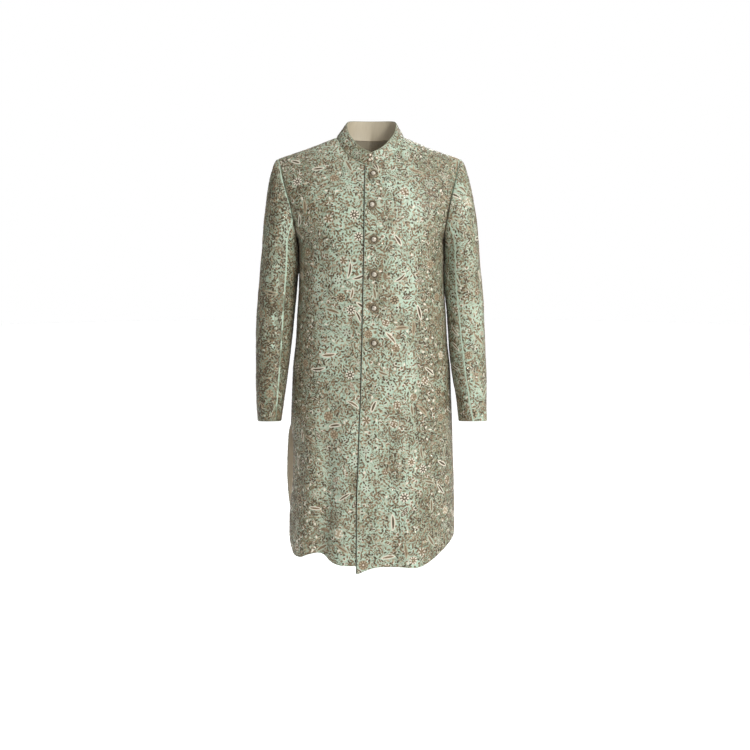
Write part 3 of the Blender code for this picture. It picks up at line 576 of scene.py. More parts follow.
def shell(panel):
    """The panel as a closed thin shell with turned-in edges."""
    rows, cols = panel.shape
    near = [0.0, 0.22, 0.55]
    rl = np.array(near + list(range(1, rows - 1)) + [rows - 1 - v for v in near[::-1]])
    cl = np.array(near + list(range(1, cols - 1)) + [cols - 1 - v for v in near[::-1]])
    rr, cc = np.meshgrid(rl, cl, indexing="ij")
    outer, inner = panel.point(rr, cc), panel.inner(rr, cc)
    nr, nc = rr.shape
    across, down = panel.flat()
    weave = np.stack([at(across, rr, cc), -at(down, rr, cc)], axis=-1) * MM
    bake_o = np.stack([0.01 + 0.70 * cc / (cols - 1), 0.01 + 0.98 * rr / (rows - 1)], axis=-1)
    bake_i = np.stack([0.73 + 0.24 * cc / (cols - 1), 0.01 + 0.98 * rr / (rows - 1)], axis=-1)
    ids = np.arange(nr * nc).reshape(nr, nc)
    quad = np.stack([ids[:-1, :-1], ids[1:, :-1], ids[1:, 1:], ids[:-1, 1:]], axis=-1).reshape(-1, 4)
    # which way round makes the outer face look outwards
    q = outer.reshape(-1, 3)[quad[len(quad) // 2]]
    turned = np.dot(np.cross(q[1] - q[0], q[2] - q[0]),
                    panel.n[panel.shape[0] // 2, panel.shape[1] // 2]) < 0
    out_faces = quad[:, ::-1] if turned else quad
    in_faces = (quad if turned else quad[:, ::-1]) + nr * nc
    border = np.concatenate([ids[0, :], ids[1:, -1], ids[-1, -2::-1], ids[-2:0:-1, 0]])
    nxt = np.roll(border, -1)
    rim = np.stack([border, nxt, nxt + nr * nc, border + nr * nc], axis=-1)
    # the rim's turn follows the outer faces' own turn
    if not turned:
        rim = rim[:, ::-1]
    verts = np.concatenate([outer.reshape(-1, 3), inner.reshape(-1, 3)])
    faces = np.concatenate([out_faces, in_faces, rim])
    mats = np.concatenate([np.zeros(len(out_faces)), np.ones(len(in_faces)), np.zeros(len(rim))])
    close = at(panel.close, rr, cc).ravel()
    uvs = {"Weave": np.concatenate([weave.reshape(-1, 2), weave.reshape(-1, 2)]),
           "OFBake": np.concatenate([bake_o.reshape(-1, 2), bake_i.reshape(-1, 2)])}
    mesh = mesh_from(panel.name, verts, faces, True, mats, uvs)
    worked = mesh.attributes.new("Close", "FLOAT", "POINT")
    worked.data.foreach_set("value", np.concatenate([close, close]).astype(np.float32))
    # the rim gets its own strip of the bake map
    layer = mesh.uv_layers["OFBake"].data
    start = (len(out_faces) + len(in_faces)) * 4
    m = len(rim)
    strip = np.zeros((m, 4, 2))
    for k, (u, v) in enumerate(((0, 0), (0, 1), (1, 1), (1, 0))):
        strip[:, k, 0] = 0.980 + 0.012 * u
        strip[:, k, 1] = 0.01 + 0.98 * (np.arange(m) + v) / m
    flat = np.zeros(len(mesh.loops) * 2, np.float32)
    layer.foreach_get("uv", flat)
    flat[start * 2:] = strip.ravel()
    layer.foreach_set("uv", flat)
    mesh.uv_layers.active = mesh.uv_layers["Weave"]
    mesh.set_sharp_from_angle(angle=math.radians(60))
    return mesh


# --------------------------------------------------------------------------- materials
def srgb(r, g, b):
    def one(v):
        v /= 255.0
        return v / 12.92 if v <= 0.04045 else ((v + 0.055) / 1.055) ** 2.4
    return (one(r), one(g), one(b), 1.0)


def new_material(name):
    m = bpy.data.materials.new(name)
    m.use_nodes = True
    return m, m.node_tree, m.node_tree.nodes["Principled BSDF"]


def node(nt, kind, inputs=None, **props):
    n = nt.nodes.new(kind)
    for k, v in props.items():
        setattr(n, k, v)
    for k, v in (inputs or {}).items():
        n.inputs[k].default_value = v
    return n


def mix_colour(nt, factor, a, b, blend="MIX"):
    n = node(nt, "ShaderNodeMix", data_type="RGBA", blend_type=blend)
    for socket, value in ((n.inputs[0], factor), (n.inputs[6], a), (n.inputs[7], b)):
        if isinstance(value, bpy.types.NodeSocket):
            nt.links.new(value, socket)
        else:
            socket.default_value = value
    return n.outputs[2]


def maths(nt, operation, a, b=None, c=None, clamp=False):
    n = node(nt, "ShaderNodeMath", operation=operation, use_clamp=clamp)
    for socket, value in zip(n.inputs, (a, b, c)):
        if value is None:
            continue
        if isinstance(value, bpy.types.NodeSocket):
            nt.links.new(value, socket)
        else:
            socket.default_value = value
    return n.outputs[0]


def silk(name, ground, shade, brown, cream, shade_olive, strip, deep, roughness=0.46, infill=1.0):
    """Slubbed silk with the finest thread work drawn in: vine lines and stitch specks. Where the work lies close the
    ground is painted darker, olive and then deep green, as painted shade.
    """
    m, nt, bsdf = new_material(name)
    uv = node(nt, "ShaderNodeUVMap", uv_map="Weave")

    def noise(scale, detail=2.0, rough=0.5, distortion=0.0, stretch=None):
        vec = uv.outputs["UV"]
        if stretch:
            mp = node(nt, "ShaderNodeMapping", {"Scale": stretch})
            nt.links.new(vec, mp.inputs["Vector"])
            vec = mp.outputs["Vector"]
        n = node(nt, "ShaderNodeTexNoise", {"Scale": scale, "Detail": detail,
                                            "Roughness": rough, "Distortion": distortion},
                 noise_dimensions="2D")
        nt.links.new(vec, n.inputs["Vector"])
        return n.outputs["Fac"]

    def line(fac, half, soft):
        """1 on the lines where fac is near its middle."""
        away = maths(nt, "ABSOLUTE", maths(nt, "SUBTRACT", fac, 0.5))
        return maths(nt, "SUBTRACT", 1.0,
                     maths(nt, "DIVIDE", maths(nt, "SUBTRACT", away, half), soft, clamp=True), clamp=True)

    slub = noise(1.0, 3.0, 0.6, stretch=(90, 900, 1))
    warp = noise(1.0, 2.0, 0.5, stretch=(1500, 60, 1))
    broad = noise(9.0, 3.0, 0.55)
    cloth = mix_colour(nt, maths(nt, "MULTIPLY", slub, 0.9, clamp=True), ground, shade)
    cloth = mix_colour(nt, maths(nt, "MULTIPLY", maths(nt, "SUBTRACT", broad, 0.38, clamp=True), 0.8, clamp=True),
                       cloth, shade)
    # how close the work is here, which also sets the ground's painted shade: 0 open ground, 1 close, below 0 left plain
    # beside a seam
    work = node(nt, "ShaderNodeAttribute", attribute_name="Close", attribute_type="GEOMETRY").outputs["Fac"]
    busy_and_shade = maths(nt, "MULTIPLY", maths(nt, "SUBTRACT", work, 0.45), 1.0, clamp=True)
    plain = maths(nt, "MULTIPLY", work, -1.4, clamp=True)
    cover = maths(nt, "SUBTRACT", 1.0, plain, clamp=True)
    vine = line(noise(70.0, 1.5, 0.45, 0.6), 0.020, 0.014)
    vine2 = line(noise(110.0, 1.0, 0.4, 0.9), 0.020, 0.014)
    vine3 = line(noise(165.0, 1.0, 0.4, 1.1), 0.042, 0.022)
    gate = maths(nt, "GREATER_THAN", noise(34.0, 1.0), 0.50)
    brown_f = maths(nt, "MULTIPLY", vine, maths(nt, "MULTIPLY_ADD", busy_and_shade, 0.30, 0.34), clamp=True)
    brown_f = maths(nt, "MAXIMUM", brown_f, maths(nt, "MULTIPLY", vine3, maths(nt, "MULTIPLY", busy_and_shade, 0.50)))
    brown_f = maths(nt, "MULTIPLY", brown_f, maths(nt, "MULTIPLY", cover, infill))
    cream_f = maths(nt, "MULTIPLY", maths(nt, "MULTIPLY", vine2, gate), 0.26 * infill, clamp=True)
    cream_f = maths(nt, "MULTIPLY", cream_f, cover)
    closest_shade = maths(nt, "MULTIPLY", maths(nt, "SUBTRACT", work, 1.35), 1.3, clamp=True)
    # painted shade: the ground darkens to olive where the work is busy and to deep green where it is closest
    cloth = mix_colour(nt, maths(nt, "MULTIPLY", busy_and_shade, 0.50), cloth, shade_olive)
    cloth = mix_colour(nt, maths(nt, "MULTIPLY", closest_shade, 0.50), cloth, deep)
    cloth = mix_colour(nt, maths(nt, "MULTIPLY", plain, 0.5), cloth, strip)
    colour = mix_colour(nt, brown_f, cloth, brown)
    colour = mix_colour(nt, cream_f, colour, cream)
    nt.links.new(colour, bsdf.inputs["Base Color"])
    # raised lines, slubs and the weave itself
    weave_a = node(nt, "ShaderNodeTexWave", {"Scale": 330.0, "Distortion": 0.6, "Detail": 1.0},
                   bands_direction="X")
    weave_b = node(nt, "ShaderNodeTexWave", {"Scale": 330.0, "Distortion": 0.6, "Detail": 1.0},
                   bands_direction="Y")
    for w in (weave_a, weave_b):
        nt.links.new(uv.outputs["UV"], w.inputs["Vector"])
    height = maths(nt, "ADD", maths(nt, "MULTIPLY", maths(nt, "ADD", brown_f, cream_f), 0.9),
                   maths(nt, "MULTIPLY", maths(nt, "ADD", weave_a.outputs["Fac"], weave_b.outputs["Fac"]), 0.12))
    height = maths(nt, "ADD", height, maths(nt, "MULTIPLY", maths(nt, "ADD", slub, warp), 0.35))
    bump = node(nt, "ShaderNodeBump", {"Strength": 0.55, "Distance": 0.0004})
    nt.links.new(height, bump.inputs["Height"])
    nt.links.new(bump.outputs["Normal"], bsdf.inputs["Normal"])
    bsdf.inputs["Roughness"].default_value = roughness
    bsdf.inputs["Sheen Weight"].default_value = 0.07
    bsdf.inputs["Sheen Roughness"].default_value = 0.35
    bsdf.inputs["Sheen Tint"].default_value = (0.86, 0.95, 0.84, 1)
    bsdf.inputs["Specular IOR Level"].default_value = 0.38
    return m


def satin(name, light, dark, roughness=0.42):
    """The plain wrong side: a beige satin with a fine vertical weave."""
    m, nt, bsdf = new_material(name)
    uv = node(nt, "ShaderNodeUVMap", uv_map="Weave")
    mp = node(nt, "ShaderNodeMapping", {"Scale": (900, 40, 1)})
    nt.links.new(uv.outputs["UV"], mp.inputs["Vector"])
    n1 = node(nt, "ShaderNodeTexNoise", {"Scale": 1.0, "Detail": 3.0, "Roughness": 0.6}, noise_dimensions="2D")
    nt.links.new(mp.outputs["Vector"], n1.inputs["Vector"])
    n2 = node(nt, "ShaderNodeTexNoise", {"Scale": 14.0, "Detail": 3.0}, noise_dimensions="2D")
    nt.links.new(uv.outputs["UV"], n2.inputs["Vector"])
    f = maths(nt, "ADD", maths(nt, "MULTIPLY", n1.outputs["Fac"], 0.6), maths(nt, "MULTIPLY", n2.outputs["Fac"], 0.4))
    nt.links.new(mix_colour(nt, f, light, dark), bsdf.inputs["Base Color"])
    bump = node(nt, "ShaderNodeBump", {"Strength": 0.35, "Distance": 0.0002})
    nt.links.new(n1.outputs["Fac"], bump.inputs["Height"])
    nt.links.new(bump.outputs["Normal"], bsdf.inputs["Normal"])
    bsdf.inputs["Roughness"].default_value = roughness
    bsdf.inputs["Sheen Weight"].default_value = 0.2
    return m


def thread(name, colour, roughness=0.5, metallic=0.0, specular=0.36, grain=1300.0, strength=0.35):
    """Floss: one colour a skein, with the fine ridges of its strands."""
    m, nt, bsdf = new_material(name)
    co = node(nt, "ShaderNodeTexCoord")
    n1 = node(nt, "ShaderNodeTexNoise", {"Scale": grain, "Detail": 1.0, "Roughness": 0.5})
    nt.links.new(co.outputs["Object"], n1.inputs["Vector"])
    bump = node(nt, "ShaderNodeBump", {"Strength": strength, "Distance": 0.0002})
    nt.links.new(n1.outputs["Fac"], bump.inputs["Height"])
    nt.links.new(bump.outputs["Normal"], bsdf.inputs["Normal"])
    bsdf.inputs["Base Color"].default_value = colour
    bsdf.inputs["Roughness"].default_value = roughness
    bsdf.inputs["Metallic"].default_value = metallic
    bsdf.inputs["Specular IOR Level"].default_value = specular
    bsdf.inputs["Sheen Weight"].default_value = 0.0 if metallic else 0.04
    return m


GROUND, GROUND_SHADE = srgb(180, 199, 179), srgb(157, 176, 157)
BROWN, DARK, BEIGE = srgb(113, 95, 72), srgb(77, 65, 47), srgb(155, 140, 115)
CREAM, PALE = srgb(206, 197, 180), srgb(170, 170, 150)
# the olive and the deep green given here are painted shade for the ground where the work lies close
SILK = silk("silk_embroidered", GROUND, GROUND_SHADE, BROWN, CREAM, srgb(120, 138, 115), srgb(163, 180, 160),
            srgb(84, 97, 76))
LINING = satin("satin_wrong_side", srgb(204, 193, 170), srgb(172, 159, 136))
TONES = [thread("thread_dark", DARK), thread("thread_brown", BROWN), thread("thread_beige", BEIGE),
         thread("thread_cream", CREAM), thread("thread_moss", srgb(112, 108, 82)),
         thread("sequin", srgb(226, 214, 196), 0.24, 0.85, grain=300.0, strength=0.1),
         thread("thread_pale", PALE)]
DARK_T, BROWN_T, BEIGE_T, CREAM_T, MOSS_T, SEQUIN_T, PALE_T = range(7)
# a near-black cord for the closing edge: painted shadow under the lap's edge as well as a cord
CLOSING_SHADOW_CORD = thread("cord_shadow_dark", srgb(50, 42, 32), 0.7, specular=0.2)


# ------------------------------------------------------------------ thread-work motifs
# A motif is drawn flat in mm: x across, y along, height; each face has a tone place
# (0, 1 or 2), which every copy fills with its own thread.
Motif = namedtuple("Motif", "verts faces places")


def join(parts):
    verts, faces, places, base = [], [], [], 0
    for v, f, t in parts:
        verts.append(np.asarray(v, float))
        faces.append(np.asarray(f, int) + base)
        places.append(np.asarray(t, int))
        base += len(v)
    return Motif(np.concatenate(verts), np.concatenate(faces), np.concatenate(places))


def fan(points, low, high, place, centre=(0.0, 0.0)):
    """A raised pad from an outline (anticlockwise) to one higher middle point."""
    v = [(x, y, low) for x, y in points] + [(centre[0], centre[1], high)]
    k = len(points)
    return v, [(i, (i + 1) % k, k) for i in range(k)], [place] * k


LEAF_OUTLINE = [(0, -0.5), (0.40, -0.16), (0.42, 0.16), (0, 0.5), (-0.42, 0.16), (-0.40, -0.16)]


def leaf_points(length, width, x=0.0, y=0.0, turn=0.0):
    c, s = math.cos(turn), math.sin(turn)
    return [(x + px * width * c - py * length * s, y + px * width * s + py * length * c)
            for px, py in LEAF_OUTLINE]


def small_leaf():
    return join([fan(leaf_points(1, 1), 0.12, 0.62, 0)])


def edged_leaf():
    return join([fan(leaf_points(1, 1), 0.12, 0.34, 1),
                 fan(leaf_points(0.82, 0.68, 0.09, 0.02), 0.42, 0.90, 0, (0.09, 0.02))])


def disc(radius, low, high, place, sides=8, x=0.0, y=0.0):
    return fan([(x + radius * math.cos(2 * math.pi * k / sides), y + radius * math.sin(2 * math.pi * k / sides))
                for k in range(sides)], low, high, place, (x, y))


def band(inner, outer, low, high, place, closed=True):
    """A corded line between two outlines, with a ridge between them."""
    k = len(inner)
    mid = [((a[0] + b[0]) / 2, (a[1] + b[1]) / 2) for a, b in zip(inner, outer)]
    v = ([(x, y, low) for x, y in inner] + [(x, y, high) for x, y in mid] + [(x, y, low) for x, y in outer])
    f = []
    for i in range(k if closed else k - 1):
        j = (i + 1) % k
        for a in (0, k):
            f += [(i + a, i + a + k, j + a + k), (i + a, j + a + k, j + a)]
    return v, f, [place] * len(f)


def daisy(petals, inner, outer, width):
    """Pale petals laid over a dark ground that shows between them and in the middle."""
    parts = [disc(outer * 0.90, 0.12, 0.42, 0, 14)]
    for k in range(petals):
        a = 2 * math.pi * k / petals
        mid, length = (inner + outer) / 2, outer - inner
        x, y = -math.sin(a) * mid, math.cos(a) * mid
        parts.append(fan(leaf_points(length, width, x, y, a), 0.34, 0.9, 1, (x, y)))
    parts.append(disc(inner * 0.52, 0.5, 1.1, 2, 6))
    return join(parts)


def eye_points(length, width, sides=14, power=1.15):
    pts = []
    for k in range(sides):
        t = 2 * math.pi * k / sides
        s = math.sin(t)
        pts.append((width / 2 * math.copysign(abs(s) ** power, s), -length / 2 * math.cos(t)))
    return pts[::1]


def pod():
    """A long seed pod: a pale corded outline round a dark slit."""
    outer, inner = eye_points(1, 1), eye_points(0.80, 0.50)
    core = eye_points(0.74, 0.44, 10)
    return join([fan(eye_points(0.9, 0.8, 10), 0.14, 0.24, 2),
                 band(inner, outer, 0.14, 0.95, 1), fan(core, 0.30, 0.80, 0)])


def knots(points, radius, low, high, sides=5):
    """French knots at the given (x, y, place)."""
    return [disc(radius, low, high, place, sides, x, y) for x, y, place in points]


def bead_leaf():
    """A leaf filled with rows of pale knots inside a fine dark outline."""
    places = []
    for k in range(9):
        t = (k - 4) / 4.6
        w = 0.30 * (1 - t * t)
        for side in (-1, 0, 1):
            if side == 0 or w > 0.12:
                places.append((side * w, t * 0.46 + 0.02 * side, 1 if (k + side) % 3 else 2))
    parts = [fan(eye_points(1, 1, 12), 0.12, 0.26, 0)]
    for x, y, place in places:
        v, f, t = disc(1.0, 0.25, 0.85, place, 5)
        # knots stay round whatever the leaf's length and width
        parts.append(([(x + px * 0.125, y + py * 0.040, h) for px, py, h in v], f, t))
    return join(parts)


def rosette():
    """A round head of knots: one, six and eleven."""
    places = [(0.0, 0.0, 0)]
    for ring, (count, radius) in enumerate(((6, 5.5), (11, 10.6))):
        for k in range(count):
            a = 2 * math.pi * (k + 0.3 * ring) / count
            places.append((radius * math.cos(a), radius * math.sin(a), (1, 2, 1, 1, 0)[(k + ring) % 5]))
    return join([disc(10.5, 0.10, 0.30, 0, 12)] + knots(places, 2.35, 0.25, 1.05, 6))


def tuft():
    """A dark head with broad rays, light and dark by turns."""
    parts = [disc(8.8, 0.10, 0.30, 0, 14)]
    for k in range(12):
        a = 2 * math.pi * k / 12
        x, y = -math.sin(a) * 8.2, math.cos(a) * 8.2
        parts.append(fan(leaf_points(8.2, 3.4, x, y, a), 0.22, 0.9, 0 if k % 2 else 2, (x, y)))
    for k in range(6):
        a = 2 * math.pi * (k + 0.3) / 6
        x, y = -math.sin(a) * 3.0, math.cos(a) * 3.0
        parts.append(fan(leaf_points(4.4, 2.8, x, y, a), 0.5, 1.05, 1 if k % 2 else 0, (x, y)))
    parts.append(disc(1.9, 0.8, 1.35, 0, 6))
    return join(parts)


def clump(seed, spread=10.5, count=24):
    """A close head of little leaves and knots lying every way."""
    rng = np.random.default_rng(seed)
    parts, placed = [], []
    for _ in range(400):
        a, far = rng.random() * 2 * math.pi, spread * math.sqrt(rng.random())
        x, y = far * math.cos(a), far * math.sin(a)
        if any((x - u) ** 2 + (y - w) ** 2 < 2.9 ** 2 for u, w in placed):
            continue
        placed.append((x, y))
        place = (0, 0, 1, 0, 2, 0, 1)[len(placed) % 7]
        if rng.random() < 0.6:
            turn = a + float(rng.uniform(-1.2, 1.2)) - math.pi / 2
            parts.append(fan(leaf_points(6.2, 3.6, x, y, turn), 0.2, 0.95, place, (x, y)))
        else:
            parts.append(disc(1.75, 0.25, 1.05, place, 5, x, y))
        if len(placed) >= count:
            break
    return join(parts)


def burst():
    """Seven separate drop petals round a small ringed eye."""
    parts = []
    for k in range(7):
        a = 2 * math.pi * k / 7
        x, y = -math.sin(a) * 7.8, math.cos(a) * 7.8
        parts.append(fan(leaf_points(8.0, 5.6, x, y, a), 0.12, 0.30, 1, (x, y)))
        parts.append(fan(leaf_points(6.8, 4.3, x * 1.02, y * 1.02, a), 0.36, 0.9, 0, (x * 1.02, y * 1.02)))
    parts.append(disc(2.7, 0.2, 0.8, 1, 8))
    parts.append(disc(1.4, 0.8, 1.2, 0, 6))
    return join(parts)


def ring_dot():
    """A dark spot with a pale crescent on one side of it."""
    inner = [(0.62 * math.cos(a), 0.62 * math.sin(a)) for a in np.linspace(-0.4, 3.5, 8)]
    outer = [(1.12 * math.cos(a), 1.12 * math.sin(a)) for a in np.linspace(-0.4, 3.5, 8)]
    return join([disc(1.0, 0.12, 0.75, 0, 9), band(inner, outer, 0.3, 0.9, 1, closed=False)])


def dot():
    return join([disc(1.0, 0.12, 0.8, 0, 7)])


def curl(turns=0.85, stations=9):
    inner, outer = [], []
    for k in range(stations):
        t = k / (stations - 1)
        a = 2 * math.pi * turns * t
        r = 1.0 - 0.68 * t
        half = 0.16 * (1 - 0.5 * t)
        inner.append(((r - half) * math.cos(a), (r - half) * math.sin(a)))
        outer.append(((r + half) * math.cos(a), (r + half) * math.sin(a)))
    v = [(x, y, 0.2) for x, y in inner] + [(x, y, 0.45) for x, y in outer]
    f = []
    for i in range(stations - 1):
        f += [(i, i + stations, i + 1 + stations), (i, i + 1 + stations, i + 1)]
    return join([(v, f, [0] * len(f))])


def sequin():
    return join([disc(1.0, 0.35, 0.62, 0, 6)])


HEADS = ("daisy8", "daisy10", "rosette", "tuft", "burst", "clump_a", "clump_b", "clump_c")
MOTIFS = {"leaf": small_leaf(), "edged": edged_leaf(), "daisy8": daisy(8, 5.2, 13.2, 5.4),
          "daisy10": daisy(9, 4.6, 13.2, 4.6), "pod": pod(), "beads": bead_leaf(), "rosette": rosette(),
          "tuft": tuft(), "clump_a": clump(3), "clump_b": clump(5, 12.5, 30), "clump_c": clump(8, 8.5, 17),
          "burst": burst(), "ring": ring_dot(), "dot": dot(), "curl": curl(),
          "sequin": sequin()}


# ------------------------------------------------------------------------------ layout
HEAD_TONES = [(BROWN_T, BEIGE_T, DARK_T), (DARK_T, BROWN_T, CREAM_T), (BROWN_T, BROWN_T, CREAM_T),
              (BROWN_T, DARK_T, BEIGE_T)]


class Layout:
    """Places motifs on a panel so that they fill it and don't lie on each other."""

    def __init__(self, panel, seed):
        self.panel = panel
        self.rng = np.random.default_rng(seed)
        self.rows, self.cols = panel.shape
        self.a, self.b, self.s = panel.a.tolist(), panel.b.tolist(), panel.s.tolist()
        self.bins = {}
        self.copies = {name: [] for name in MOTIFS}
        self.stems = []
        area = panel.area()
        self.total = float(area.sum())
        self.chance = (area / area.sum()).ravel()
        self.cell_cols = area.shape[1]
        self.density = np.clip(panel.close, 0.10, 1.0)
        self.spacing = (2.80 - 0.50 * np.clip((panel.close - 0.75) / 0.75, 0, 1)).tolist()

    def places(self, count):
        """Random places, even over the cloth."""
        cells = self.rng.choice(len(self.chance), size=count, p=self.chance)
        r = cells // self.cell_cols + self.rng.random(count)
        c = cells % self.cell_cols + self.rng.random(count)
        if self.panel.skip is not None:
            keep = ~self.panel.skip(r, c)
            r, c = r[keep], c[keep]
        return list(zip(r.tolist(), c.tolist()))

    def metric(self, r, c):
        i, j = int(r + 0.5), int(c + 0.5)
        return self.a[i][j], self.b[i][j], self.s[i][j]

    def inside(self, r, c):
        return 0 <= r <= self.rows - 1 and 0 <= c <= self.cols - 1

    def clear(self, r, c, radius):
        a, b, s = self.metric(r, c)
        ri, ci = min(int((radius + 2.6) / abs(b)) + 1, 7), min(int((radius + 2.6) / a) + 1, 7)
        i0, j0 = int(r), int(c)
        bins = self.bins
        for i in range(i0 - ri, i0 + ri + 1):
            for j in range(j0 - ci, j0 + ci + 1):
                for r2, c2, rad in bins.get((i, j), ()):
                    dr = r2 - r
                    db, da, m = b * dr, a * (c2 - c) + s * dr, radius + rad
                    if da * da + db * db < m * m:
                        return False
        return True

    def mark(self, r, c, radius):
        if radius <= 3.2:
            self.bins.setdefault((int(r), int(c)), []).append((r, c, radius))
            return
        a, b, _ = self.metric(r, c)
        ri, ci = int(radius / abs(b)) + 1, int(radius / a) + 1
        for i in range(int(r) - ri, int(r) + ri + 1):
            for j in range(int(c) - ci, int(c) + ci + 1):
                self.bins.setdefault((i, j), []).append((r, c, radius))

    def move(self, r, c, angle, far):
        a, b, s = self.metric(r, c)
        dr = far * math.sin(angle) / b
        return r + dr, c + (far * math.cos(angle) - s * dr) / a

    def put(self, kind, r, c, angle, length, width, tones, bend=0.0, high=1.0):
        quiet = kind.startswith(("daisy", "ring", "dot")) and self.rng.random() < 0.45
        # on the shaded sleeve cream threads turn beige as painted shade; elsewhere some small heads are quietened at
        # random
        if self.panel.deep or quiet:
            tones = tuple(BEIGE_T if t == CREAM_T else t for t in tones)
            if kind in HEADS and len(set(tones)) == 1:
                tones = (BROWN_T, tones[1], BROWN_T)
        self.copies[kind].append((r, c, angle, length, width, bend, high, *tones))

    # -- the steps of the design
    def flowers(self, per_m2, kinds):
        tries = self.places(int(self.total * 1e-6 * per_m2 * 14))
        want = int(self.total * 1e-6 * per_m2)
        rng, made = self.rng, 0
        names, weights = zip(*kinds)
        weights = np.array(weights) / sum(weights)
        for r, c in tries:
            if made >= want:
                break
            kind = names[int(rng.choice(len(names), p=weights))]
            radius = {"pod": 11, "beads": 10, "rosette": 12.6, "tuft": 11.2, "burst": 11.3, "clump_a": 10.5,
                      "clump_b": 12.5, "clump_c": 8.5}.get(kind, 12.6)
            if not self.clear(r, c, radius + 1.5):
                continue
            angle = rng.random() * 2 * math.pi
            size = float(rng.uniform(0.84, 1.08))
            if kind in ("pod", "beads"):
                length, width = float(rng.uniform(31, 46)), float(rng.uniform(8.6, 11.8))
                tones = [(DARK_T, CREAM_T, BEIGE_T), (DARK_T, CREAM_T, BROWN_T), (BROWN_T, BEIGE_T, PALE_T),
                         (BROWN_T, CREAM_T, BEIGE_T), (BROWN_T, PALE_T, BROWN_T)][int(rng.integers(5))]
                if kind == "beads":
                    length *= 0.82
                    width *= 1.15
                self.put(kind, r, c, angle, length, width, tones, float(rng.uniform(-0.011, 0.011)))
                for k in (-1.1, 0, 1.1):
                    rr, cc = self.move(r, c, angle, length * 0.30 * k)
                    if self.inside(rr, cc):
                        self.mark(rr, cc, width * 0.52)
                self.mark(r, c, width * 0.5)
            else:
                tones = {"daisy8": [(DARK_T, CREAM_T, CREAM_T), (BROWN_T, CREAM_T, BEIGE_T)],
                         "daisy10": [(DARK_T, CREAM_T, CREAM_T), (BROWN_T, BEIGE_T, CREAM_T)],
                         "rosette": [(BROWN_T, CREAM_T, BEIGE_T), (BEIGE_T, CREAM_T, BEIGE_T),
                                     (BROWN_T, BEIGE_T, CREAM_T)],
                         "tuft": [(BROWN_T, BEIGE_T, CREAM_T), (BROWN_T, CREAM_T, BEIGE_T)],
                         "clump_a": HEAD_TONES, "clump_b": HEAD_TONES, "clump_c": HEAD_TONES,
                         "burst": [(BROWN_T, CREAM_T, CREAM_T), (DARK_T, CREAM_T, CREAM_T)]}[kind]
                self.put(kind, r, c, angle, size, size, tones[int(rng.integers(len(tones)))])
                self.mark(r, c, radius * size)
            made += 1

    def dots(self, per_m2):
        rng = self.rng
        for r, c in self.places(int(self.total * 1e-6 * per_m2)):
            ring = rng.random() < 0.62
            radius = float(rng.uniform(3.2, 4.9)) if ring else float(rng.uniform(2.0, 3.4))
            if self.clear(r, c, radius + 0.8):
                tone = (BROWN_T, CREAM_T, CREAM_T) if rng.random() < 0.7 else (DARK_T, CREAM_T, CREAM_T)
                self.put("ring" if ring else "dot", r, c, rng.random() * 6.3, radius, radius, tone)
                self.mark(r, c, radius)

    def tones(self, close=False):
        q = self.rng.random()
        # painted shade: the shaded sleeve takes mostly the darkest thread
        if self.panel.deep:
            return DARK_T if q < 0.72 else BROWN_T if q < 0.95 else MOSS_T
        if close:
            return DARK_T if q < 0.42 else BROWN_T if q < 0.80 else MOSS_T if q < 0.96 else BEIGE_T
        return DARK_T if q < 0.24 else BROWN_T if q < 0.84 else MOSS_T if q < 0.90 else BEIGE_T

    def leaf(self, r, c, angle, more=0.0):
        rng = self.rng
        if not self.inside(r, c):
            return False
        radius = self.spacing[int(r + 0.5)][int(c + 0.5)] + more
        if not self.clear(r, c, radius):
            return False
        length, width = float(rng.uniform(7.5, 13.0)), float(rng.uniform(4.4, 6.8))
        tone = self.tones(radius - more < 2.55)
        q = rng.random()
        # painted shade: on the shaded sleeve fewer leaves get pale edges
        if self.panel.deep:
            q = q * 1.5 + 0.08
        if q < 0.34:
            self.put("edged", r, c, angle, length * 1.06, width * 1.2, (tone,) + (PALE_T if q < 0.28 else CREAM_T,) * 2)
        elif q < 0.39:
            self.put("leaf", r, c, angle, length, width, (CREAM_T if q < 0.36 else PALE_T,) * 3)
        else:
            self.put("leaf", r, c, angle, length, width, (tone,) * 3)
        self.mark(r, c, radius)
        return True

    def thin(self, r, c):
        """True where the design leaves its ground open."""
        return self.rng.random() > float(at(self.density, np.array([r]), np.array([c]))[0])

    def vines(self, tries, gap=6.2):
        rng = self.rng
        for r, c in self.places(tries):
            if not self.clear(r, c, 2.2) or self.thin(r, c):
                continue
            wreath = rng.random() < 0.16
            angle = rng.random() * 2 * math.pi
            turn = float(rng.uniform(0.26, 0.40)) * (1 if rng.random() < 0.5 else -1) if wreath \
                else float(rng.uniform(-0.28, 0.28))
            steps = int(rng.integers(10, 17)) if wreath else int(rng.integers(3, 12))
            side, path = 1, [(r, c)]
            for _ in range(steps):
                if not wreath:
                    turn = 0.8 * turn + float(rng.normal(0, 0.10))
                angle += turn
                r2, c2 = self.move(r, c, angle, gap)
                if not self.inside(r2, c2) or not self.clear(r2, c2, 1.2):
                    break
                if self.panel.skip is not None and bool(self.panel.skip(np.array([r2]), np.array([c2]))[0]):
                    break
                r, c = r2, c2
                path.append((r, c))
                for w in ((side, -side) if wreath or rng.random() < 0.5 else (side,)):
                    out = angle + w * float(rng.uniform(0.6, 1.25))
                    lr, lc = self.move(r, c, out, float(rng.uniform(4.2, 5.2)))
                    self.leaf(lr, lc, out, 0.15)
                side = -side
            if len(path) > 1:
                for pr, pc in path:
                    self.mark(pr, pc, 0.6)
                self.stems.append((path, float(rng.uniform(1.1, 1.7)),
                                   [BROWN_T, DARK_T, BROWN_T, BEIGE_T][int(rng.integers(4))]))

